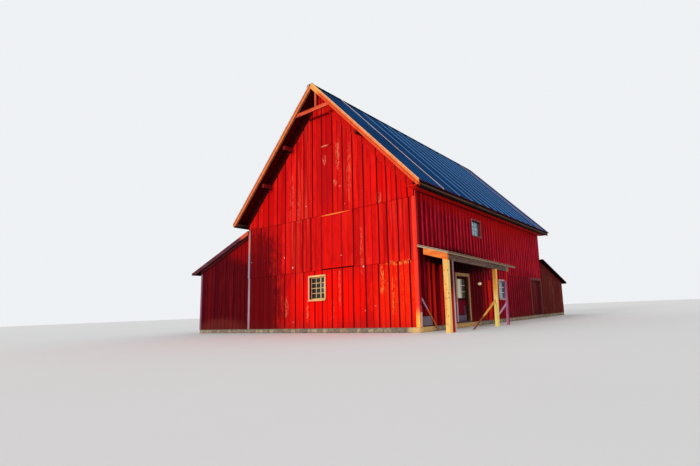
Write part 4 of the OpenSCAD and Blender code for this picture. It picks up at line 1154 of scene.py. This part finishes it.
# %% Window bars
def bars(name, wall, edges, columns, rows, deep, inset, width=0.022, thick=0.026, body="barn",
         heavy=None):
    """Upright and level bars that divide a light into columns and rows. The deep
    value is the distance of the bars' backs behind the wall face. The bar whose
    number is the heavy value is 2.2 times as wide."""
    left, right, low, high = np.array(edges) + [inset, -inset, inset, -inset]
    made = []
    for i in range(1, columns):
        u, half = left + (right - left) * i / columns, width / 2 * (2.2 if heavy == i else 1)
        made.append((u - half, u + half, low, high, high, 0.5))
    for i in range(1, rows):
        z = low + (high - low) * i / rows
        made.append((left, right, z - width / 2, z + width / 2, z + width / 2, 0.5))
    planks(name, wall, np.array(made), "bar_paint", thick, -deep, body, bow=0.0, rings=2)


sash = 0.03 + 0.04  # jamb and sash
glass_back = 0.09 + 0.017  # rebate and pane
bars("gable_window_bars", "front", gable_window, 3, 4, glass_back, sash, heavy=2)
bars("high_window_bars", "right_wall", high_window, 2, 3, glass_back, sash)
bars("porch_window_bars", "right_wall", porch_window, 2, 3, glass_back, sash, width=0.035)
(_, near_y, low_z), (glass_x, far_y, high_z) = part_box("entrance_door_glass")
bars("entrance_door_bars", "right_wall", (near_y + half_l, far_y + half_l, low_z, high_z), 3, 3,
     half_w - glass_x, 0.0, thick=0.016, body="entrance_door")

# %% [markdown]
# ## Foundation stones
# The walls stand on low field stone. Each stone is a rounded block: a sphere's two
# angles, with the sines and cosines raised to a small power so that it swells
# towards a box. The stones lie side by side along the foot of each wall and are
# sunk into the foundation by most of their depth.

# %% Stones
def power(value, exponent):
    """The size of a number raised to a power, with the number's own sign."""
    return np.sign(value) * np.abs(value) ** exponent


def stones(name, runs, seed=8, height=0.2, sunk=0.1):
    """Rounded stones along the foot of walls. Two angles make each stone; signed
    powers of their sines and cosines square it off."""
    luck = np.random.default_rng(seed)
    lat = np.linspace(-np.pi / 2, np.pi / 2, 7)[:, None]
    lon = np.linspace(0, 2 * np.pi, 12, endpoint=False)
    shape = np.array(np.broadcast_arrays(
        power(np.cos(lat), 0.4) * power(np.cos(lon), 0.5),
        power(np.cos(lat), 0.4) * power(np.sin(lon), 0.5), power(np.sin(lat), 0.6)))
    places, tones = [], []
    for *run, length in runs:
        at = 0.0
        while at < length - 0.12:
            size = min(luck.uniform(0.22, 0.46), length - at)
            out, high = luck.uniform(0.01, 0.035), luck.uniform(0.86, 0.99) * height
            bump = 1 + 0.05 * np.sin(5 * lon + 9 * luck.random()) * np.cos(lat)
            a, d, z = shape * bump * np.array([size / 2 * 0.98, sunk, high / 2])[:, None, None]
            places.append(on_wall((*run, length), at + size / 2 + a, z + high / 2, d + out - sunk))
            tones.append(luck.random())
            at += size
    places = np.array(places)
    strip = np.zeros(places.shape)
    strip[..., 2] = np.array(tones)[:, None, None]
    piece(name, places, "field_stone", strip=strip, smooth=True)


stones("foundation_stones", [
    (-lean_x, -half_l, 1, 0, lean_x + half_w), (half_w, -half_l, 0, 1, half_l + rear_y),
    *(walls[name] for name in ("rear_end", "rear_left", "lean_to_rear", "lean_to_side"))])

# %% [markdown]
# ## Finishes on the solids
# Each solid of the frame keeps its shape and gets the finish of the real piece.

# %% Give every solid its finish
left_over = set(nodes)
for finish, *names in table("""
    gap_shade front_wall rear_wall left_wall right_wall_front right_wall_middle right_wall_rear
    gap_shade right_wall_over_doors lean_to_end_walls lean_to_side_wall rear_side_walls rear_end_wall
    sunlit_red loft_doors
    post_paint painted_posts
    entrance_paint entrance_door
    door_red barn_door
    rear_trim_wood barn_door_frame rear_barges
    field_stone foundation lean_to_foundation rear_foundation
    floor_wood loft_floor
    trim_paint window_frames entrance_frame
    corner_wood corner_boards
    soffit_dark end_rafters
    lookout_wood lookouts
    barge_right_wood front_barge_right
    barge_left_wood front_barge_left
    fascia_wood eave_fascias
    lean_trim_wood lean_to_barge
    brace_wood peak_brace
    roof_right_metal roof_right
    roof_left_metal roof_left
    low_roof_metal lean_to_roof rear_roof
    ridge_metal ridge_cap
    pane_glass window_glass entrance_door_glass
    porch_deck porch_roof
    beam_grey porch_beam
    rafter_orange porch_end_rafter
    post_wood porch_posts
    loose_wood loose_boards
    skirt_metal skirting_panel
    lamp_glass porch_lamp"""):
    for name in names:
        nodes[name].data.materials.clear()
        nodes[name].data.materials.append(finishes[finish])
        left_over.remove(name)
print("solids without a finish:", sorted(left_over))

# %% [markdown]
# ## Floor, light and sky
# A pale floor takes the shadow. The world is a soft even white that lights the
# barn, and one wide sun lamp from the front left gives the forms their shape. For
# what the camera sees directly, and for gloss and glass, the world is a plain
# pale tone, so the light and the backdrop can be set apart.

# %% Floor and light
tree, place = finish_of("floor_finish", 0.95)
coat(tree, blend(cloud(place, 0.2), (0.80, 0.80, 0.80, 1), (0.84, 0.84, 0.84, 1)))
floor_reach, below = 300, 0.002
floor_mesh = bpy.data.meshes.new("studio_floor")
floor_mesh.from_pydata([(x * floor_reach, y * floor_reach, -below) for x, y in (
    (-1, -1), (1, -1), (1, 1), (-1, 1))], [], [(0, 1, 2, 3)])
floor_mesh.materials.append(finishes["floor_finish"])
floor = placed("studio_floor", floor_mesh)

lamp = bpy.data.lights.new("soft_sun", "SUN")
lamp.energy, lamp.angle = 1.18, np.radians(14)
placed("soft_sun", lamp).rotation_euler = np.radians([76, 0, -8])

world = bpy.data.worlds.new("studio_sky")
bpy.context.scene.world = world
world.use_nodes = True
tree = world.node_tree
camera_ray, glossy_ray, through_ray = (add(tree, "LightPath", out=f"Is {kind} Ray")
                                       for kind in ("Camera", "Glossy", "Transmission"))
light = add(tree, "Background", {"Color": (1, 1, 1, 1), "Strength": 0.7})
backdrop = add(tree, "Background", {"Color": (0.86, 0.88, 0.90, 1), "Strength": 1.0})
mixed = add(tree, "MixShader", {
    0: camera_ray.largest(glossy_ray.largest(through_ray)), 1: light, 2: backdrop})
tree.links.new(mixed.socket, tree.nodes["World Output"].inputs["Surface"])
bpy.context.scene.view_settings.view_transform = "Standard"
print("studio ready")
